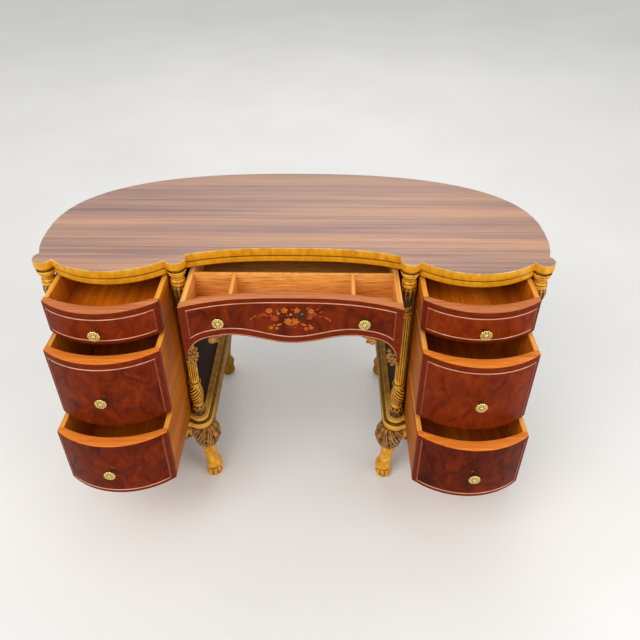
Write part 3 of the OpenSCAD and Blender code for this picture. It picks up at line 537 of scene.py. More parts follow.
def column_profile():
    """The turned column from foot to head, as (z, radius) points."""
    def run(count, keys, radii):
        at = np.linspace(keys[0], keys[-1], count)
        return list(zip(at, through(keys, radii, at)))
    line = [(238, 0), (238, 14)]
    line += run(26, [238.4, 244, 254, 264, 271, 276], [15.6, 17.9, 18.7, 17.8, 15.8, 14.2])
    line += bead(277, 285.6, 13.4, 15.2)
    line += run(44, [286.6, 294, 305, 318, 332, 343, 350], [13.8, 16, 17.7, 18.3, 17.2, 15, 13.4])
    line += run(9, [351, 354, 358, 361.4], [12.8, 13.6, 15.6, 17.4])
    line += [(363, 17.1), (363.5, 14.4), (364, 13.2)]
    for low, high, count in ((366, 382, 14), (396, 576, 7), (586, 602, 14)):
        line += [(z, 13) for z in np.linspace(low, high, count)]
    line += [(603.6, 12.4), (604.4, 11.2)] + bead(604.8, 611.4, 11, 14.4)
    line += [(612.4, 8.6), (614.5, 7.4), (618, 6.9), (620.8, 7.6)] + bead(621.6, 629.6, 8.6, 13.2)
    line += [(630.2, 9)]
    line += run(34, [631, 640, 652, 664, 674, 681], [9.6, 12.8, 16.2, 18.5, 19.8, 19.4])
    line += run(6, [682, 685, 688.4], [19.2, 18.4, 16.8]) + bead(689, 698.6, 16.4, 19.4, 9)
    line += [(699, 15.8)] + bead(699.6, 706.6, 15.6, 18.4, 9)
    line += run(8, [707.4, 710, 714, 718.2], [15, 14.8, 16, 17.8])
    line += bead(718.8, 724.2, 17.4, 20.2) + bead(725, 732.4, 19.4, 22.9)
    line += [(733.8, 23.2), (734.2, 20.2), (738, 19.8), (738, 0)]
    return np.array(line)


def carve_column(turn, z, r, hand):
    """Flutes, reeds and leaves cut into the turned column. turn is the angle round it, hand the way of the
    reeds, and the heights are those of column_profile's mouldings."""
    recess = np.zeros_like(z)
    # flutes round the shaft: painted shade in each flute and painted highlight on the fillets between
    flute = ((1 + np.cos(FLUTES * turn)) / 2) ** 0.8 * between(367, 376, 593, 601, z)
    shaft = between(365, 372, 597, 603, z)
    r = r - 2.1 * flute
    recess = np.maximum(0.8 * flute ** 2, recess) - 0.45 * shaft * (1 - flute) ** 3
    # spiral reeds of the lower vase, with painted shade in the gaps and painted highlight on the crests, and
    # the bright rings below and above them, painted highlights
    on = between(286.5, 289.5, 346, 350.5, z)
    ridge = np.abs(np.sin(REEDS * (turn + hand * REED_TURN * (z - REED_LOW) / REED_RUN) / 2))
    r = r + on * (2 * ridge ** 0.9 - 1.4)
    recess = recess + on * np.clip(3.2 - 4.3 * ridge, -1, 1)
    recess = recess - 0.7 * between(277, 280, 283, 286, z) - 0.5 * between(353, 360, 362, 363, z)
    # carved leaf cup at the foot, with a turned lip at each tip
    on = between(238.5, 241, 274.5, 277, z)
    leaf = np.abs(np.sin(CUP_LEAVES / 2 * turn))
    vein = np.cos(3 * CUP_LEAVES * turn + 0.16 * (z - 238))
    tip = 273 - 12 * (1 - leaf)
    over = step(tip + 1.5, tip - 1.5, z)
    r = r + on * (1.1 * (leaf ** 0.7 - 0.6) * over + 0.35 * vein - 0.5 * (1 - over))
    # each lip is given a pale painted highlight
    lip = np.exp(-((z - tip + 2.2) / 1.7) ** 2) * (leaf > 0.3)
    recess = np.maximum(recess, on * np.clip(0.92 - 0.42 * leaf * (vein > 0.5), 0, 1)) - on * 1.3 * lip
    # scalloped ring under the upper vase, with painted shade in the grooves beside it, and it and the bead
    # below painted bright as highlights
    recess = np.maximum(recess, ((z > 611.6) & (z < 614)) * 0.8 + (np.abs(z - 630.3) < 0.9) * 0.9)
    r = r + ((z > 621) & (z < 629.9)) * 0.45 * np.cos(SCALLOPS * turn)
    recess = recess - 0.8 * ((z > 622.5) & (z < 629)) - 0.7 * ((z > 605.6) & (z < 610.8))
    # leaves that hang over the upper vase, with threads between them that carry small painted highlights
    on = between(631, 633, 687, 688.6, z)
    down = np.clip((688 - z) / 57, 0, 1)
    cell = np.abs(((VASE_LEAVES * turn / (2 * math.pi)) % 1) - 0.5) * 2
    reach = np.clip(1.1 * (1 - down / 0.62), 0, 1.3)
    leaf = step(reach + 0.12, reach - 0.12, cell) * (down < 0.7)
    thread = np.cos(3 * VASE_LEAVES * turn)
    r = r + on * (1.1 * leaf + 0.45 * thread * (1 - leaf) - 0.5)
    light = 0.42 * leaf * (cell < 0.45) + 0.3 * (thread > 0.45) * (1 - leaf)
    recess = np.maximum(recess, on * np.clip(0.95 - light - 0.25 * (down < 0.1), 0, 1))
    # pearls of the ring over them, with painted shade between and a painted highlight on each
    pearl = np.abs(np.cos(PEARLS / 2 * turn)) ** 0.7
    ring = between(689, 690.5, 697, 698.6, z)
    r = r - ring * 0.8 * (1 - pearl)
    recess = np.maximum(recess, ring * np.clip(0.6 - 1.6 * pearl, 0, 1)) - 0.9 * ring * (pearl > 0.5)
    # painted highlights on the bright rings, and painted shade in the fine grooves
    for middle, half in RING_HIGHLIGHTS:
        recess = recess - 0.95 * (np.abs(z - middle) < half)
    for low, high in FINE_GROOVES:
        recess = np.maximum(recess, ((z > low) & (z < high)) * 0.8)
    return r, recess


def dress_column(node, x, hand):
    """The column as turned, wrapped round its axis and carved."""
    line = column_profile()
    count = len(line) - 1

    def shape(u, v):
        row = np.rint(v * count).astype(int)
        turn = 2 * math.pi * u
        z, r = line[row, 0], line[row, 1]
        cut, recess = carve_column(turn, z, r, hand)
        r = np.where(r > 0.5, cut, 0)
        return np.stack([x + r * np.cos(turn), r * np.sin(turn), z], 1), recess
    piece = wrap(node + "_carved", 144, count, shape)
    shade(piece, 55)
    dress(piece, "desk", "gilt", [GOLD], node)


# ---- base and legs

OVAL_IN_X, OVAL_IN_Y = OVAL_X - BASE_LINE, OVAL_Y - BASE_LINE
REAR_IN = OVAL_CY + OVAL_IN_Y * (1 - (COL_IN / OVAL_IN_X) ** OVAL_POWER) ** (1 / OVAL_POWER)
REAR_TURN = math.radians(30)
REAR_OUT = (OVAL_IN_X * math.cos(REAR_TURN) ** (2 / OVAL_POWER),
            OVAL_CY + OVAL_IN_Y * math.sin(REAR_TURN) ** (2 / OVAL_POWER))
KNEES = [(COL_IN, 0), (COL_OUT, 0), (COL_IN, REAR_IN), REAR_OUT]
BASE_BOW = BOW_R - 25.5
FRAME_W, FRAME_FRONT, FRAME_REAR = 44, 24, 53  # how wide a base's frame is at the sides, front and rear
RAYS, RAY_STEP = 640, 0.4  # a base's outline is found by rays from its middle
MIDDLE_Y = 190

# How far each step of the base's moulding stands out from the column axes, its height, and its recess; "in"
# is the edge of the opening inside
# a recess near 1 darkens the grooves beside the rolls as painted shade
BASE_STEPS = [("in", 165, 0.4), (31, 165, 0.5), (32, 166, 0.3), (32, 171, 0.1),
              (32, 185, 0), (32, 201, 0.3), (32, 202.6, 0.9), (31.2, 203.8, 1)]
BASE_STEPS += [(31 + 5 * math.cos(math.radians(a)), 214.6 + 10.2 * math.sin(math.radians(a)),
                0.9 * (abs(a) > 70)) for a in range(-75, 76, 15)]
BASE_STEPS += [(31, 225, 0.5), (29.6, 225.1, 0.4), (26, 225.2, 0.5), (24.2, 225.3, 0.9),
               (23.2, 226, 0.9)]
BASE_STEPS += [(22 + 4 * math.cos(math.radians(a)), 232 + 6 * math.sin(math.radians(a)),
                0.9 * (a < -50)) for a in range(-60, 91, 15)]
BASE_STEPS += [(20.6, 237.2, 0.2), (19.2, 238, 0), ("in", 238, 0)]


def in_kidney(x, y, inset):
    return ((np.abs(x) / (OVAL_X - inset)) ** OVAL_POWER
            + (np.abs(y - OVAL_CY) / (OVAL_Y - inset)) ** OVAL_POWER <= 1)


def in_base(x, y, reach):
    """Whether a plan point lies inside the base's outline at a given reach from the column axes."""
    body = (y >= 0) & ((x >= COL_IN) | ((x >= COL_IN - reach) & (y <= REAR_IN)))
    body |= (x - COL_IN) ** 2 + (y - REAR_IN) ** 2 <= reach ** 2
    inside = in_kidney(x, y, BASE_LINE - reach) & body
    bow = (x - BOW_X) ** 2 + (y - BOW_CY) ** 2 <= (BASE_BOW + reach) ** 2
    inside |= bow & (x >= COL_IN) & (x <= COL_OUT) & (y <= 1)
    for column in (COL_IN, COL_OUT):
        inside |= (x - column) ** 2 + y ** 2 <= reach ** 2
    return inside


def in_opening(x, y):
    """Whether a plan point lies in the opening inside a base's frame."""
    return (in_kidney(x, y, BASE_LINE + FRAME_W) & (x >= COL_IN + FRAME_W)
            & (y >= FRAME_FRONT) & (y <= REAR_IN - FRAME_REAR))


def outline(test):
    """Points where rays from the middle of a pedestal leave an outline, smoothed a little."""
    turn = np.linspace(0, 2 * math.pi, RAYS + 1)
    out = np.arange(20, 520, RAY_STEP)
    inside = test(BOW_X + out * np.cos(turn)[:, None], MIDDLE_Y + out * np.sin(turn)[:, None])
    last = inside.shape[1] - 1 - np.argmax(inside[:, ::-1], axis=1)
    reach = out[last] + RAY_STEP / 2
    reach[-1] = reach[0]
    soft = np.convolve(np.concatenate([reach[-3:-1], reach, reach[1:3]]), [0.1, 0.2, 0.4, 0.2, 0.1], "valid")
    soft[-1] = soft[0]
    return np.stack([BOW_X + soft * np.cos(turn), MIDDLE_Y + soft * np.sin(turn)], 1)


def dress_base(side):
    """The moulded frame of a base: its steps follow the outline, with scallops beside the knees."""
    loops = {"in": outline(in_opening)}
    for reach, _, _ in BASE_STEPS:
        if reach not in loops:
            loops[reach] = outline(lambda x, y: in_base(x, y, reach))
    steps = BASE_STEPS + [BASE_STEPS[0]]

    def shape(u, v):
        column = np.rint(u * RAYS).astype(int) % RAYS
        row = np.rint(v * (len(steps) - 1)).astype(int)
        plan, recess = np.empty((len(u), 3)), np.empty(len(u))
        for k, (reach, z, deep) in enumerate(steps):
            here = row == k
            plan[here, :2] = loops[reach][column[here]]
            plan[here, 2] = z
            recess[here] = deep
        # the lower edge sinks into carved scallops beside each knee
        near = np.min([np.hypot(plan[:, 0] - x, plan[:, 1] - y) for x, y in KNEES], axis=0)
        low = step(66, 58, near) * step(31, 36, near)
        scallop = np.abs(np.sin(near / 4.6))
        plan[:, 2] -= low * (plan[:, 2] < 167) * (2 + 5 * scallop)
        recess = np.maximum(recess, low * (plan[:, 2] < 172) * np.clip(1.1 - scallop, 0, 1))
        # and the front is made paler as a painted highlight
        recess = np.where(recess < 0.25, recess - 0.8 * step(95, 5, plan[:, 1]), recess)
        plan[:, 0] *= SIGN[side]
        return plan, recess
    piece = wrap(f"base_moulding_{side}_run", RAYS, len(steps) - 1, shape)
    shade(piece, 40)
    dress(piece, "desk", "gilt", [GOLD_DULL_SHADED], f"base_moulding_{side}")


# A leg at its heights: how far its middle leans out from the knee, and its radius
LEG_Z = [0, 5, 14, 24, 36, 48, 60, 74, 90, 106, 122, 134, 146, 158, 172, 188, 205]
LEG_OUT = [26, 26, 26, 26, 26.5, 27, 26, 23, 20, 17.6, 15.6, 15.8, 17.2, 18.6, 17.6, 14.2, 6.5]
LEG_R = [19.5, 21.5, 22.6, 21.6, 22.2, 22.4, 19.6, 17.8, 18.6, 20.8, 24.4, 28.4, 33, 36.6, 38.6, 37.6, 33]
LEG_TOP = 204.8
LEAFLETS, TOES = 11, 9  # in half a turn of the fan, and round the whole foot


def carve_leg(turn, z, r, plain):
    """Acanthus knee, smooth shin, paw and toes, at heights from the floor. turn is the angle from the way the
    leg leans; a plain leg has no leaves."""
    recess = np.zeros_like(z)
    # leaflets that fan out from the top of the knee, three veins to each
    spread = np.arctan2(turn * 38, 248 - z)
    leaflet = np.abs(np.cos(LEAFLETS * spread + 0.25 * np.sin(z / 8)))
    vein = np.abs(np.cos(3 * LEAFLETS * spread + 0.25 * np.sin(z / 8)))
    edge = 137 - 9 * leaflet ** 0.6 + 2 * np.abs(turn)
    over = step(edge - 1.5, edge + 1.5, z)
    notch = 0.5 + 0.5 * np.sin(z / 3.4 + 5.5 * leaflet)
    carved = over * (3.4 * (leaflet ** 0.5 - 0.6) + 1.6 * vein + 1.2 * (notch - 0.5))
    carved = carved - (1 - over) * step(112, 129, z) * 1.2
    mottle = np.sin(2.3 * turn + z / 9) * np.sin(5.1 * turn - z / 5)
    # brown glaze between the leaflets, deepened as painted shade, and painted highlights on the veins
    deep = 1.05 - 1.2 * leaflet ** 0.5 * (0.25 + 0.75 * vein) * (0.5 + 0.5 * notch) - 0.4 * mottle
    deep = over * np.clip(deep - 0.6 * (vein > 0.75) * (leaflet > 0.5), -0.8, 1)
    # a scroll on either side of the knee
    side, rise = (np.abs(turn) - 1.15) * 38, z - 150
    away = np.hypot(side, rise)
    curl = np.cos(2 * math.pi * away / 8 + np.arctan2(rise, side))
    eye = np.exp(-(away / 10.5) ** 4)
    carved = carved * (1 - eye) + eye * (2.2 + 2 * curl)
    deep = deep * (1 - eye) + eye * np.clip(0.6 - 0.6 * curl, 0, 1)
    deep = np.maximum(deep, (np.abs(z - edge + 2) < 1.6) * 0.8)
    r, recess = (r, recess) if plain else (r + carved, deep)
    # the paw swells at the front over the toes: a painted highlight on the swell, painted shade in the crease
    # above the toes and between them, and painted highlights on the toes
    front = np.clip(np.cos(turn), 0, 1)
    bulge = front * np.exp(-((z - 50) / 12) ** 2)
    r = r + 8 * bulge * (0.8 + 0.2 * np.cos(5 * turn))
    recess = recess - 0.9 * bulge * (front > 0.55) * step(62, 50, z)
    split = np.exp(-((z - 32) / 2.6) ** 2) * step(-0.3, 0.2, np.cos(turn))
    r = r - 2.6 * split
    recess = np.maximum(recess, 0.95 * split)
    toe = np.abs(np.cos(TOES / 2 * turn)) ** 0.6
    toes = step(31, 26, z) * step(-0.35, 0.05, np.cos(turn))
    r = r + toes * (6 * toe - 2.6) * step(-3, 8, z)
    recess = np.where(toes > 0.1, np.maximum(recess, toes * np.clip(1.4 - 2.4 * toe, -0.6, 1)), recess)
    return r, recess


def dress_leg(node, x, y, lean, mirror):
    """A cabriole leg under the point (x, y) that leans out by an angle in plan."""
    levels = np.unique(np.concatenate([np.linspace(0, 34, 20), np.linspace(34, 60, 12),
                                       np.linspace(60, 122, 16), np.linspace(122, LEG_TOP, 62)]))
    out, radius = through(LEG_Z, LEG_OUT, levels), through(LEG_Z, LEG_R, levels)
    # the leg closes in a flat sole and a flat top
    levels = np.concatenate([[0], levels, [LEG_TOP]])
    out = np.concatenate([LEG_OUT[:1], out, LEG_OUT[-1:]])
    radius = np.concatenate([[0], radius, [0]])
    count = len(levels) - 1
    rear = "rear" in node
    way = math.radians(lean)

    def shape(u, v):
        row = np.rint(v * count).astype(int)
        turn = 2 * math.pi * u - math.pi
        z = levels[row]
        girth = radius[row] - rear * 9 * step(110, 165, z)  # a rear knee is slimmer
        cut, recess = carve_leg(turn, z, girth, rear)
        r = np.where(radius[row] > 0.5, cut, 0)
        px = x + out[row] * math.cos(way) + r * np.cos(turn + way)
        py = y + out[row] * math.sin(way) + r * np.sin(turn + way)
        return np.stack([px * mirror, py, z], 1), recess
    piece = wrap(node + "_carved", 180, count, shape)
    shade(piece, 60)
    finishes = [GOLD_DULL_SHADED, GOLD_DULL_SHADED] if rear else [GOLD, CARVED]
    dress(piece, "desk", "gilt", finishes, node, pick=lambda centre, normal: centre[:, 2] > 130)


# ---- drawers

INNER_HALF = HALF_W - SIDE_T
INNER_SAG = FRONT_BACK - (BOW_CY - FRONT_R) - FRONT_MID_T
INNER_R = (INNER_HALF ** 2 + INNER_SAG ** 2) / (2 * INNER_SAG)
BAND_SIDE, BAND_TOP, BAND_LOW = 10.5, 17, 11  # from a front's edges in to its bead
BEAD_W = 3.2
BEAD_SHORT = 0.6  # a bead that ends at a front's edge stops this far from it
PETALS = 10

# The turned knob, as (distance out of the face, radius) points
KNOB_LINE = np.array([
    (0.1, 0), (0.1, 4.2), (1, 4.2), (1.8, 3.4), (6, 3.2), (18.5, 3.2), (21, 4.8), (22.6, 8.2), (23.6, 11.4),
    (24.4, 13.6), (25.2, 14.2), (26, 13.9), (26.5, 12.8), (26.3, 11.6), (25.8, 10.6), (25.7, 9.6),
    (26.1, 8.6), (26.6, 7.8), (26.4, 6.8), (25.9, 6), (26.3, 5), (27.2, 4), (27.8, 2.8), (28, 1.4),
    (28, 0)])


def bow_front_y(x):
    """The face of a pedestal front, closed, at a distance from its own middle."""
    return BOW_CY - np.sqrt(FRONT_R ** 2 - x ** 2)


def bow_back_y(x):
    """The back of a bowed front: hollowed between the drawer's sides and flat where they join it."""
    inner = FRONT_BACK - INNER_SAG + INNER_R - np.sqrt(np.maximum(INNER_R ** 2 - x ** 2, 0))
    return np.where(np.abs(x) <= INNER_HALF, inner, FRONT_BACK)


def thicken(obj, back_y, pull):
    """Extrudes a bowed face to a board whose back follows its own curve, wherever it was first moved to."""
    with edit_mode(obj):
        bpy.ops.mesh.extrude_region_move(TRANSFORM_OT_translate={"value": (0, 10 * MM, 0)})
    moved = np.empty(len(obj.data.vertices), bool)
    obj.data.vertices.foreach_get("select", moved)
    plan = plan_of(obj)
    plan[moved, 1] = back_y(plan[moved, 0]) - pull
    put(obj, plan)
    close_up(obj, 0.001)


def front_faces(centre, normal):
    """Face, upper edge, ends and linings of a drawer front."""
    return np.select([normal[:, 1] < -0.3, normal[:, 2] > 0.6, np.abs(normal[:, 0]) > 0.8], [0, 1, 2], 3)


def astragal(name, body, path, face_y, proud=1.6):
    """A half-round bead planted on a front along (x, z) points; one that ends where it starts is a ring."""
    path = np.asarray(path, float)
    ring = np.allclose(path[0], path[-1])
    before = path - np.roll(path, 1, 0)
    after = np.roll(path, -1, 0) - path
    before[0], after[-1] = (before[-1], after[0]) if ring else (after[0], before[-1])
    before /= np.hypot(*before.T)[:, None]
    after /= np.hypot(*after.T)[:, None]
    square = (before + after) / (1 + (before * after).sum(1))[:, None]
    count = len(path) - 1

    def shape(u, v):
        row = np.rint(u * count).astype(int)
        turn = 2 * math.pi * v
        size = np.where(((row == 0) | (row == count)) & (not ring), 0, 1)
        across = size * BEAD_W / 2 * np.cos(turn)
        x = path[row, 0] - square[row, 1] * across
        z = path[row, 1] + square[row, 0] * across
        return np.stack([x, face_y(x) - size * proud * np.sin(turn), z], 1), np.zeros(len(u))
    obj = wrap(name, count, 12, shape)
    shade(obj, 60)
    # the upward-facing half of the bead takes the paler finish: a painted highlight
    dress(obj, body, "mahogany", [BEADING, BEAD_HIGHLIGHT], pick=lambda centre, normal: normal[:, 2] > 0.22)


def dress_front(row, side):
    """A bowed front, the marks that its figure and its band read, and its bead."""
    key = f"{row}_{side}"
    low, high = LEVELS[row]
    pull, middle = PULLS[key], SIGN[side] * BOW_X
    obj, u, v = board(key + "_bowed_front", 96, max(28, round((high - low) / 3)))
    x = (u - 0.5) * 2 * HALF_W
    put(obj, np.stack([x + middle, bow_front_y(x) - pull, low + (high - low) * v], 1))
    thicken(obj, lambda px: bow_back_y(px - middle), pull)
    ease_edges(obj, 0.9)
    plan = plan_of(obj)
    x, z = plan[:, 0] - middle, plan[:, 2]
    # the middle and lower fronts share one frame of band and bead, open where they meet
    edge = (HALF_W - np.abs(x)) / BAND_SIDE
    if row != "lower":
        edge = np.minimum(edge, (high - z) / BAND_TOP)
    if row != "middle":
        edge = np.minimum(edge, (z - low) / BAND_LOW)
    mark(obj, "from_edge", edge)
    # the feather's core sways a little left of the middle
    core = x + 6 + 5 * np.sin(z / 37)
    away = np.sqrt(core ** 2 + 36)
    mark(obj, "flame", np.stack([(z - 0.9 * away) / 30, away / 75, np.exp(-(core / 11) ** 2)], 1))
    shade(obj, 35)
    upper_edge = TOP_EDGE if row == "upper" else WARM_EDGE
    dress(obj, key + "_drawer", "mahogany", [FRONTS[key], upper_edge, ENDS, LININGS], key + "_front",
          pick=front_faces)
    half, top, bottom = HALF_W - BAND_SIDE, high - BAND_TOP, low + BAND_LOW
    if row == "upper":
        path = route(((-half, bottom), (half, bottom), (half, top), (-half, top), (-half, bottom)),
                     (60, 6, 60, 6))
    elif row == "middle":
        foot = low + BEAD_SHORT
        path = route(((half, foot), (half, top), (-half, top), (-half, foot)), (12, 60, 12))
    else:
        head = high - BEAD_SHORT
        path = route(((-half, head), (-half, bottom), (half, bottom), (half, head)), (12, 60, 12))
    path = [(x + middle, z) for x, z in path]
    astragal(key + "_astragal", key + "_drawer", path, lambda x: bow_front_y(x - middle) - pull)


def dress_box(row, side):
    """Sides, back and bottom of a pedestal drawer."""
    key = f"{row}_{side}"
    body = key + "_drawer"

    def pick(centre, normal):
        x, y = np.abs(centre[:, 0]) - BOW_X, centre[:, 1] + PULLS[key]
        rim = np.abs(normal[:, 2]) > 0.5
        inner = (np.abs(x) < HALF_W - 0.5 * SIDE_T) & (y < BOX_BACK - 0.5 * SIDE_T)
        return np.select([rim, inner], [2, 1], 0)
    dress_copy(key + "_box", body + "_box", body, "drawer_wood", [SIDES, LININGS, RIMS], pick=pick)
    dress_copy(key + "_bottom", body + "_bottom", body, "drawer_wood", [FLOORS], 0.4, 50)


def knob_at(name, x, face_y, z):
    """Pierced and scalloped rosette on a stem that stands out from the face; the piercings are painted shade,
    not cut.
    """
    count = len(KNOB_LINE) - 1

    def shape(u, v):
        row = np.rint(v * count).astype(int)
        turn = 2 * math.pi * u
        out, r = KNOB_LINE[row, 0], KNOB_LINE[row, 1]
        rim = step(9, 14, r) * (out > 20)
        wave = np.abs(np.cos(PETALS / 2 * turn))
        r = r - rim * 1.7 * (1 - wave ** 0.7)
        between = np.abs(np.sin(PETALS / 2 * turn))
        petal = (r > 5) & (r < 12.4) & (out > 24)
        out = out + petal * 0.7 * (between - 0.5)
        hole = petal & (between < 0.45) & (r > 6.2)
        # painted shade in the piercings and the ring round the boss, and the rosette's painted shadow along
        # the stem
        recess = np.where(hole, 1, 0) + ((r > 4.6) & (r < 6.2) & (out > 24)) * 0.7 + (out < 21) * 0.85
        return np.stack([x + r * np.cos(turn), face_y - out, z + r * np.sin(turn)], 1), np.clip(recess, 0, 1)
    piece = wrap(name, 100, count, shape)
    shade(piece, 50)
    return piece


def dress_knob(row, side):
    key = f"{row}_{side}"
    piece = knob_at(key + "_rosette_knob", SIGN[side] * BOW_X, BOW_CY - FRONT_R - PULLS[key], KNOB_Z[row])
    dress(piece, key + "_drawer", "brass", [BRASS], key + "_knob")


# ---- centre drawer

CENTRE_BAND_SIDE, CENTRE_BAND_TOP, CENTRE_BAND_LOW = 17, 13, 20
CENTRE_KNOB_X, CENTRE_KNOB_DOWN = 169, 46


def hollow_y(x):
    """The face of the centre front, hollow in plan, pulled out as at rest."""
    return CENTRE_Y - CENTRE_SAG * (np.abs(x) / CENTRE_HALF) ** 2.8 - CENTRE_PULL


def apron_drop(x):
    """Height of the shaped front at a distance from the middle of the desk."""
    x = np.abs(x)
    swell = MID_H + (ARCH_H - MID_H) * (1 - np.cos(math.pi * np.clip(x / ARCH_X, 0, 1))) / 2
    rise = np.clip((x - ARCH_X) / (LOBE_IN - ARCH_X), 0, 1)
    lobe = ARCH_H + (LOBE_H - ARCH_H) * (1 - np.sqrt(np.maximum(0, 1 - rise ** LOBE_TURN)))
    return np.where(x < ARCH_X, swell, np.where(x < LOBE_IN, lobe, LOBE_H))


def apron_line():
    """Where the centre front is cut from left to right, denser where its lower edge turns."""
    half = np.concatenate([np.linspace(0, ARCH_X, 44, endpoint=False),
                           ARCH_X + (LOBE_IN - ARCH_X) * np.sin(np.radians(np.linspace(0, 90, 40))),
                           np.linspace(LOBE_IN, CENTRE_HALF, 4)[1:]])
    return np.concatenate([-half[:0:-1], half])


def dress_centre_front():
    """The hollow front with its arch and lobes, and the marks that its figure and its band read."""
    xs = apron_line()
    count = len(xs) - 1
    obj, u, v = board("centre_hollow_front", count, 44)
    x = xs[np.rint(u * count).astype(int)]
    low = CENTRE_TOP - apron_drop(x)
    put(obj, np.stack([x, hollow_y(x), low + (CENTRE_TOP - low) * v], 1))
    thicken(obj, lambda px: hollow_y(px) + CENTRE_T + CENTRE_PULL, CENTRE_PULL)
    ease_edges(obj, 0.9, angle=50)
    x, _, z = plan_of(obj).T
    edge_x = np.interp(np.linspace(0, count, 1400), np.arange(count + 1), xs)
    edge_z = CENTRE_TOP - apron_drop(edge_x)
    lower = np.full(len(x), np.inf)
    for near_x, near_z in zip(edge_x, edge_z):
        lower = np.minimum(lower, np.hypot(x - near_x, z - near_z))
    edge = np.minimum((CENTRE_TOP - z) / CENTRE_BAND_TOP, (CENTRE_HALF - np.abs(x)) / CENTRE_BAND_SIDE)
    mark(obj, "from_edge", np.minimum(edge, lower / CENTRE_BAND_LOW))
    away = np.sqrt(x ** 2 + 900)
    mark(obj, "flame", np.stack([(z - 0.5 * away) / 34, away / 90, np.zeros(len(x))], 1))
    shade(obj, 35)
    dress(obj, "centre_drawer", "mahogany", [CENTRE_FACE, TOP_EDGE, ENDS, OAK], "centre_front",
          pick=front_faces)


def inside_edge(away, reach):
    """The apron's lower edge drawn back into the front by a distance, between x = -reach and reach."""
    fine = LOBE_IN * np.sin(np.radians(np.linspace(-90, 90, 3000)))
    z = CENTRE_TOP - apron_drop(fine)
    run, rise = np.gradient(fine), np.gradient(z)
    length = np.hypot(run, rise)
    x, z = fine - rise / length * away, z + run / length * away
    keep = np.abs(x) < reach
    x, z = x[keep], z[keep]
    travel = np.concatenate([[0], np.cumsum(np.hypot(np.diff(x), np.diff(z)))])
    at = np.linspace(0, travel[-1], 150)
    return list(zip(np.interp(at, travel, x), np.interp(at, travel, z)))


def dress_centre_beads():
    """The bead that frames the field, and the one along the shaped lower edge, each with a painted highlight
    on its upper side.
    """
    half, top = CENTRE_HALF - CENTRE_BAND_SIDE, CENTRE_TOP - CENTRE_BAND_TOP
    lower = inside_edge(CENTRE_BAND_LOW, half - 0.5)
    left_foot, right_foot = (-half, lower[0][1]), (half, lower[-1][1])
    path = lower + route((right_foot, (half, top), (-half, top), left_foot), (16, 110, 16)) + lower[:1]
    astragal("centre_astragal", "centre_drawer", path, hollow_y)
    astragal("centre_cock_bead", "centre_drawer", inside_edge(1.9, LOBE_IN), hollow_y, 1.3)


def dress_centre_box():
    def pick(centre, normal):
        return np.select([np.abs(normal[:, 1]) > 0.6, normal[:, 2] > 0.5], [1, 2], 0)
    for node in ("centre_box", "centre_dividers"):
        dress_copy(node, node + "_oak", "centre_drawer", "drawer_wood", [OAK_SIDE, OAK, OAK_RIM], pick=pick)
    dress_copy("centre_bottom", "centre_bottom_oak", "centre_drawer", "drawer_wood", [OAK], 0.4, 50)


def dress_centre_knobs():
    face = float(hollow_y(np.array(CENTRE_KNOB_X))) - 1.4
    pair = [knob_at(f"centre_rosette_knob_{side}", sign * CENTRE_KNOB_X, face, CENTRE_TOP - CENTRE_KNOB_DOWN)
            for side, sign in SIGN.items()]
    dress(joined(pair, "centre_rosette_knobs"), "centre_drawer", "brass", [BRASS], "centre_knobs")


# ---- marquetry

# Veneers of the spray, plain or shaded in hot sand: a dark and a light tone of each
CHIPS = {kind: wood(name, "X", dark, light, light, stripe=3, length=14, rough=(0.32, 0.4), offset=offset,
                    depth=0.2)
         for kind, name, dark, light, offset in (("gold", "satinwood_chip", "#90400C", "#B65E18", 1),
                                                 ("pale", "holly_chip", "#A8602A", "#CC8844", 2),
                                                 ("rust", "padauk_chip", "#782A0A", "#963E10", 3),
                                                 ("dark", "sand_shaded_chip", "#2A140A", "#3E2210", 4))}
SPRAY_X = -4  # the spray's middle
CHIP_PROUD, CHIP_IN = 0.18, 0.4  # how far a chip stands out of the front, and goes into it

# The open lily in the middle: upper petals as (way, length), the ways of the short ones under it, and where
# the streaks below them start
LILY = ((12, 21), (38, 20), (62, 17), (118, 17), (142, 20), (168, 19), (-8, 14), (188, 14))
LILY_UNDER = (-150, -125, -100, -80, -55, -30)
LILY_STREAKS = (-11, -6, -1, 4, 9, 14)
# x, z, size, petals, veneer and heart of each flower round it
FLOWERS = (
    (-49, 681, 8.5, 7, "gold", "dark"), (-13, 682, 8.8, 5, "gold", "rust"),
    (16, 682, 8.8, 5, "gold", "rust"), (49, 680, 8.8, 6, "gold", "rust"),
    (28, 672, 11.5, 7, "dark", "pale"), (24, 662, 8, 6, "dark", "dark"), (-28, 673, 3.8, 5, "pale", "rust"),
    (1, 670, 3.8, 5, "pale", "rust"), (-17, 664, 7, 5, "dark", "dark"), (-37, 659, 10.5, 6, "rust", "gold"),
    (47, 665, 7.5, 5, "rust", "rust"), (58, 671, 6.5, 5, "rust", "rust"), (-62, 671, 6, 5, "rust", "rust"),
    (-47, 631, 6.4, 5, "gold", "rust"), (-33, 629, 5.2, 5, "gold", "rust"), (37, 628, 6, 5, "gold", "rust"),
    (49, 631, 6.4, 5, "gold", "rust"))
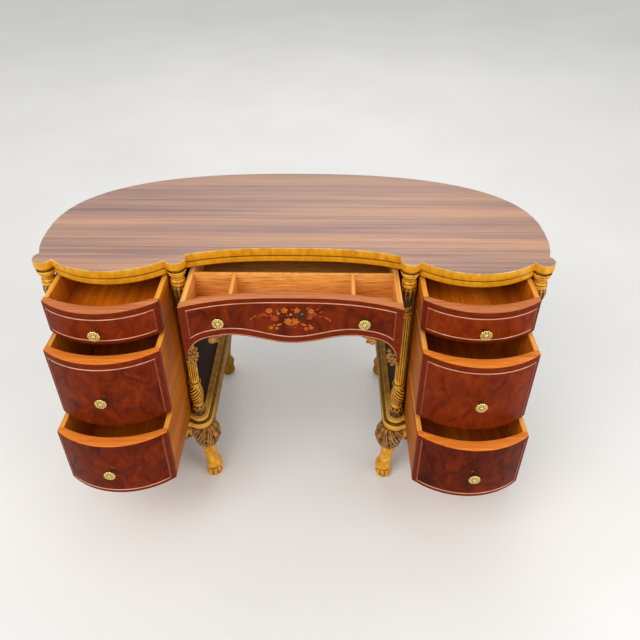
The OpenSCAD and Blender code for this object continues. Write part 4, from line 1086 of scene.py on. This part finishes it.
# veneer, x, z, length, width and way of each leaf
LEAVES = (
    ("gold", -34, 637, 15, 6.5, 25), ("gold", -43, 635, 10, 4, 40), ("gold", 38, 637, 15, 6.5, 155),
    ("gold", 50, 635, 10, 4, 140), ("rust", -34, 675, 13, 5, 60), ("rust", -40, 670, 12, 5, 200),
    ("rust", -22, 680, 11, 4, 20), ("rust", 36, 686, 12, 5, 30), ("rust", 38, 660, 14, 5, -10),
    ("rust", -50, 666, 13, 5, 165), ("gold", -96, 655, 12, 2.6, 42), ("gold", -88, 662, 12, 2.4, 40),
    ("rust", -78, 664, 14, 4, 20), ("rust", -72, 672, 14, 4, -20), ("gold", 80, 666, 13, 3.2, -38),
    ("gold", 88, 660, 12, 2.8, -42), ("rust", 64, 664, 14, 4, 8), ("rust", 68, 676, 13, 4, 30),
    ("rust", 60, 682, 12, 4, 45), ("rust", 4, 680, 10, 4, 90), ("rust", -4, 664, 10, 4, 130))


def chip(kind, x, z, length, width, way, name="leaf", round_tip=0):
    """One leaf or petal let into the centre front, a hair proud of it."""
    obj = primitive(name, bpy.ops.mesh.primitive_circle_add, vertices=20, radius=1, fill_type="NGON")
    with edit_mode(obj):
        bpy.ops.mesh.extrude_region_move(TRANSFORM_OT_translate={"value": (0, 0, 1)})
    along, side, up = points(obj).T
    taper = round_tip + (1 - round_tip) * np.sqrt(np.clip(1 - along ** 2, 0, 1))
    a, b = (along + 1) / 2 * length, side * width / 2 * taper
    turn = math.radians(way)
    px = x + SPRAY_X + a * math.cos(turn) - b * math.sin(turn)
    pz = z + a * math.sin(turn) + b * math.cos(turn)
    put(obj, np.stack([px, hollow_y(px) - np.where(up > 0.5, CHIP_PROUD, -CHIP_IN), pz], 1))
    obj.data.materials.append(CHIPS[kind])
    return obj


def bloom(x, z, size, petals, kind, heart):
    """A ring of petals from the top round, and the flower's heart."""
    ring = [chip(kind, x, z, size, size * 0.66, 90 + 360 * k / petals, "petal") for k in range(petals)]
    return ring + [chip(heart, x - size * 0.24, z, size * 0.48, size * 0.48, 0, "heart", 0.2)]


def dress_marquetry():
    """A basket of flowers with a sprig on either side, a traditional design drawn for this desk."""
    chips = [chip("gold", 2, 645, length, 8.5, way) for way, length in LILY]
    chips += [chip("gold", 2, 647, 11, 5.5, way) for way in LILY_UNDER]
    chips += bloom(3, 649, 7.5, 5, "pale", "rust")
    chips += [chip("rust", x, 638, 12, 1.5, -90 - (x - 2) * 1.5) for x in LILY_STREAKS]
    for flower in FLOWERS:
        chips += bloom(*flower)
    chips += [chip(*leaf) for leaf in LEAVES]
    spray = joined(chips, "marquetry_spray")
    with edit_mode(spray):
        bpy.ops.mesh.normals_make_consistent(inside=False)
    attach(spray, "centre_drawer")


# ---- carved leaves under the arches

# distance from the middle, height, length, width and way of each lobe, and how far behind the face it starts
LEAF_CURLS = [
    (199, 614, 34, 8, 178), (198, 612, 17, 12, -118), (191, 613, 19, 12, -96), (182, 613, 17, 11, -78),
    (175, 614, 13, 8, -55), (186, 603, 11, 8, 200), (194, 601, 9, 8, -150), (167, 616, 15, 6, 165),
    (250, 545, 20, 12, 100), (249, 544, 14, 11, 150), (246, 557, 17, 12, 118), (242, 553, 13, 10, 160),
    (243, 569, 17, 11, 125), (238, 565, 12, 9, 170), (239, 580, 15, 10, 130), (236, 574, 10, 8, 200),
    (251.5, 549, 12, 7, 84, 3.5), (250, 562, 12, 7, 96, 3.5), (247, 574, 12, 7, 108, 3.5)]


def leaf_curl(side, x, z, length, width, way, back=9):
    """One rolled lobe of a carved leaf, grooved along its length, that comes forward as it grows."""
    turn = math.radians(way)

    def shape(u, t):
        around = 2 * math.pi * u
        groove = np.cos(6 * around)
        girth = width / 2 * np.sqrt(np.clip(1 - (2 * t - 1) ** 2, 0, 1)) * (0.75 + 0.5 * t)
        girth = girth * (1 + 0.10 * groove)
        along, across = length * t, girth * np.cos(around) + 2.2 * np.sin(math.pi * t)
        px = x + along * math.cos(turn) - across * math.sin(turn)
        pz = z + along * math.sin(turn) + across * math.cos(turn)
        depth = back - 6 * np.sin(0.5 * math.pi * t) + girth * 0.9 * np.sin(around)
        # darker in the grooves and at both ends of each lobe, as painted shade
        recess = np.clip(0.30 - 0.45 * groove + 0.55 * (np.abs(2 * t - 1) > 0.86), 0, 1)
        return np.stack([side * px, hollow_y(px) + depth, pz], 1), recess
    return wrap("leaf_curl", 36, 18, shape)


def dress_carvings():
    curls = [leaf_curl(side, *curl) for side in SIGN.values() for curl in LEAF_CURLS]
    piece = joined(curls, "carved_leaves")
    shade(piece, 60)
    dress(piece, "centre_drawer", "gilt", [CARVED], "centre_carvings")


# ---- case

def dress_case():
    for side in SIGN:
        dress_copy(f"side_panel_{side}", f"knee_panel_{side}", "desk", "case_wood", [DARK_PANEL])
        dress_copy(f"curved_panel_{side}", f"bent_panel_{side}", "desk", "case_wood", [VENEERED])
        for node in (f"runner_frames_{side}", f"case_bottom_{side}"):
            dress_copy(node, node + "_sawn", "desk", "drawer_wood", [CARCASS], 0.6)
    for node, slot, finish in (("back_apron", "case_wood", VENEERED),
                               ("centre_runners", "drawer_wood", CARCASS),
                               ("front_stiles", "gilt", GOLD_DULL_SHADED)):
        dress_copy(node, node + "_planed", "desk", slot, [finish])


# ---- the whole desk

dress_top()
for rail_node in ("bow_rail_left", "bow_rail_right", "knee_rail", "back_rail"):
    dress_rail(rail_node)
dress_case()
for place_name, axis_x, reed_hand in (("inner", COL_IN, 1), ("outer", COL_OUT, -1)):
    for side_name, side_sign in SIGN.items():
        dress_column(f"column_{place_name}_{side_name}", side_sign * axis_x, side_sign * reed_hand)
for side_name, side_sign in SIGN.items():
    dress_base(side_name)
    for part, corner, lean_way in (("front_inner", (COL_IN, 0), 212), ("front_outer", (COL_OUT, 0), 305),
                                   ("rear_inner", (COL_IN, REAR_IN), 102), ("rear_outer", REAR_OUT, 42)):
        dress_leg(f"leg_{part}_{side_name}", *corner, lean_way, side_sign)
    for drawer_row in LEVELS:
        dress_front(drawer_row, side_name)
        dress_box(drawer_row, side_name)
        dress_knob(drawer_row, side_name)
dress_centre_front()
dress_centre_beads()
dress_centre_box()
dress_centre_knobs()
dress_marquetry()
dress_carvings()


# ---- studio

# name, place, what it is aimed at, size and power of each lamp
LAMPS = (
    ("key_softbox", (-1.6, -2.6, 3.4), (0, -0.1, 0.5), 3, 98),
    ("fill_softbox", (2.6, -2, 2.2), (0, 0, 0.5), 2.8, 48),
    ("back_softbox", (0.2, 3.4, 3.4), (0, 0, 0.7), 3.4, 40))


def pale_floor():
    floor = primitive("studio_floor", bpy.ops.mesh.primitive_plane_add, size=40, location=(0, 6, 0))
    finish = new_finish("pale_studio_floor")
    soft = grain_noise(finish, "X", 900, 900, detail=2)
    toned = add(finish, "ValToRGB", {"Fac": soft}, stops=[(0.2, "#D9D7D3"), (0.8, "#E2E0DC")])
    polish(finish, toned, 0.75)
    floor.data.materials.append(finish)


def hang(name, data):
    """Puts a lamp or a camera into the scene."""
    obj = bpy.data.objects.new(name, data)
    bpy.context.scene.collection.objects.link(obj)
    return obj


def soft_light():
    world = bpy.data.worlds.new("studio_sky")
    bpy.context.scene.world = world
    world.use_nodes = True
    sky = world.node_tree.nodes["Background"]
    sky.inputs["Color"].default_value = tint("#F4F6F8")
    sky.inputs["Strength"].default_value = 0.82
    for name, place, aim, size, power in LAMPS:
        lamp_data = bpy.data.lights.new(name, "AREA")
        lamp_data.shape = "DISK"
        lamp_data.size = size
        lamp_data.energy = power
        lamp = hang(name, lamp_data)
        lamp.location = place
        lamp.rotation_euler = (Vector(aim) - Vector(place)).to_track_quat("-Z", "Y").to_euler()


def photo_camera():
    """The photo's own view, solved from its lobes, drawer corners, columns and feet."""
    lens = bpy.data.cameras.new("photo_camera")
    lens.lens = 36.175
    lens.sensor_width = 36
    camera = hang("photo_camera", lens)
    camera.location = (0.0822, -1.3770, 1.5853)
    camera.rotation_euler = (math.radians(52.202), 0, math.radians(0.775))
    bpy.context.scene.camera = camera


pale_floor()
soft_light()
photo_camera()
bpy.context.scene.view_settings.view_transform = "Standard"
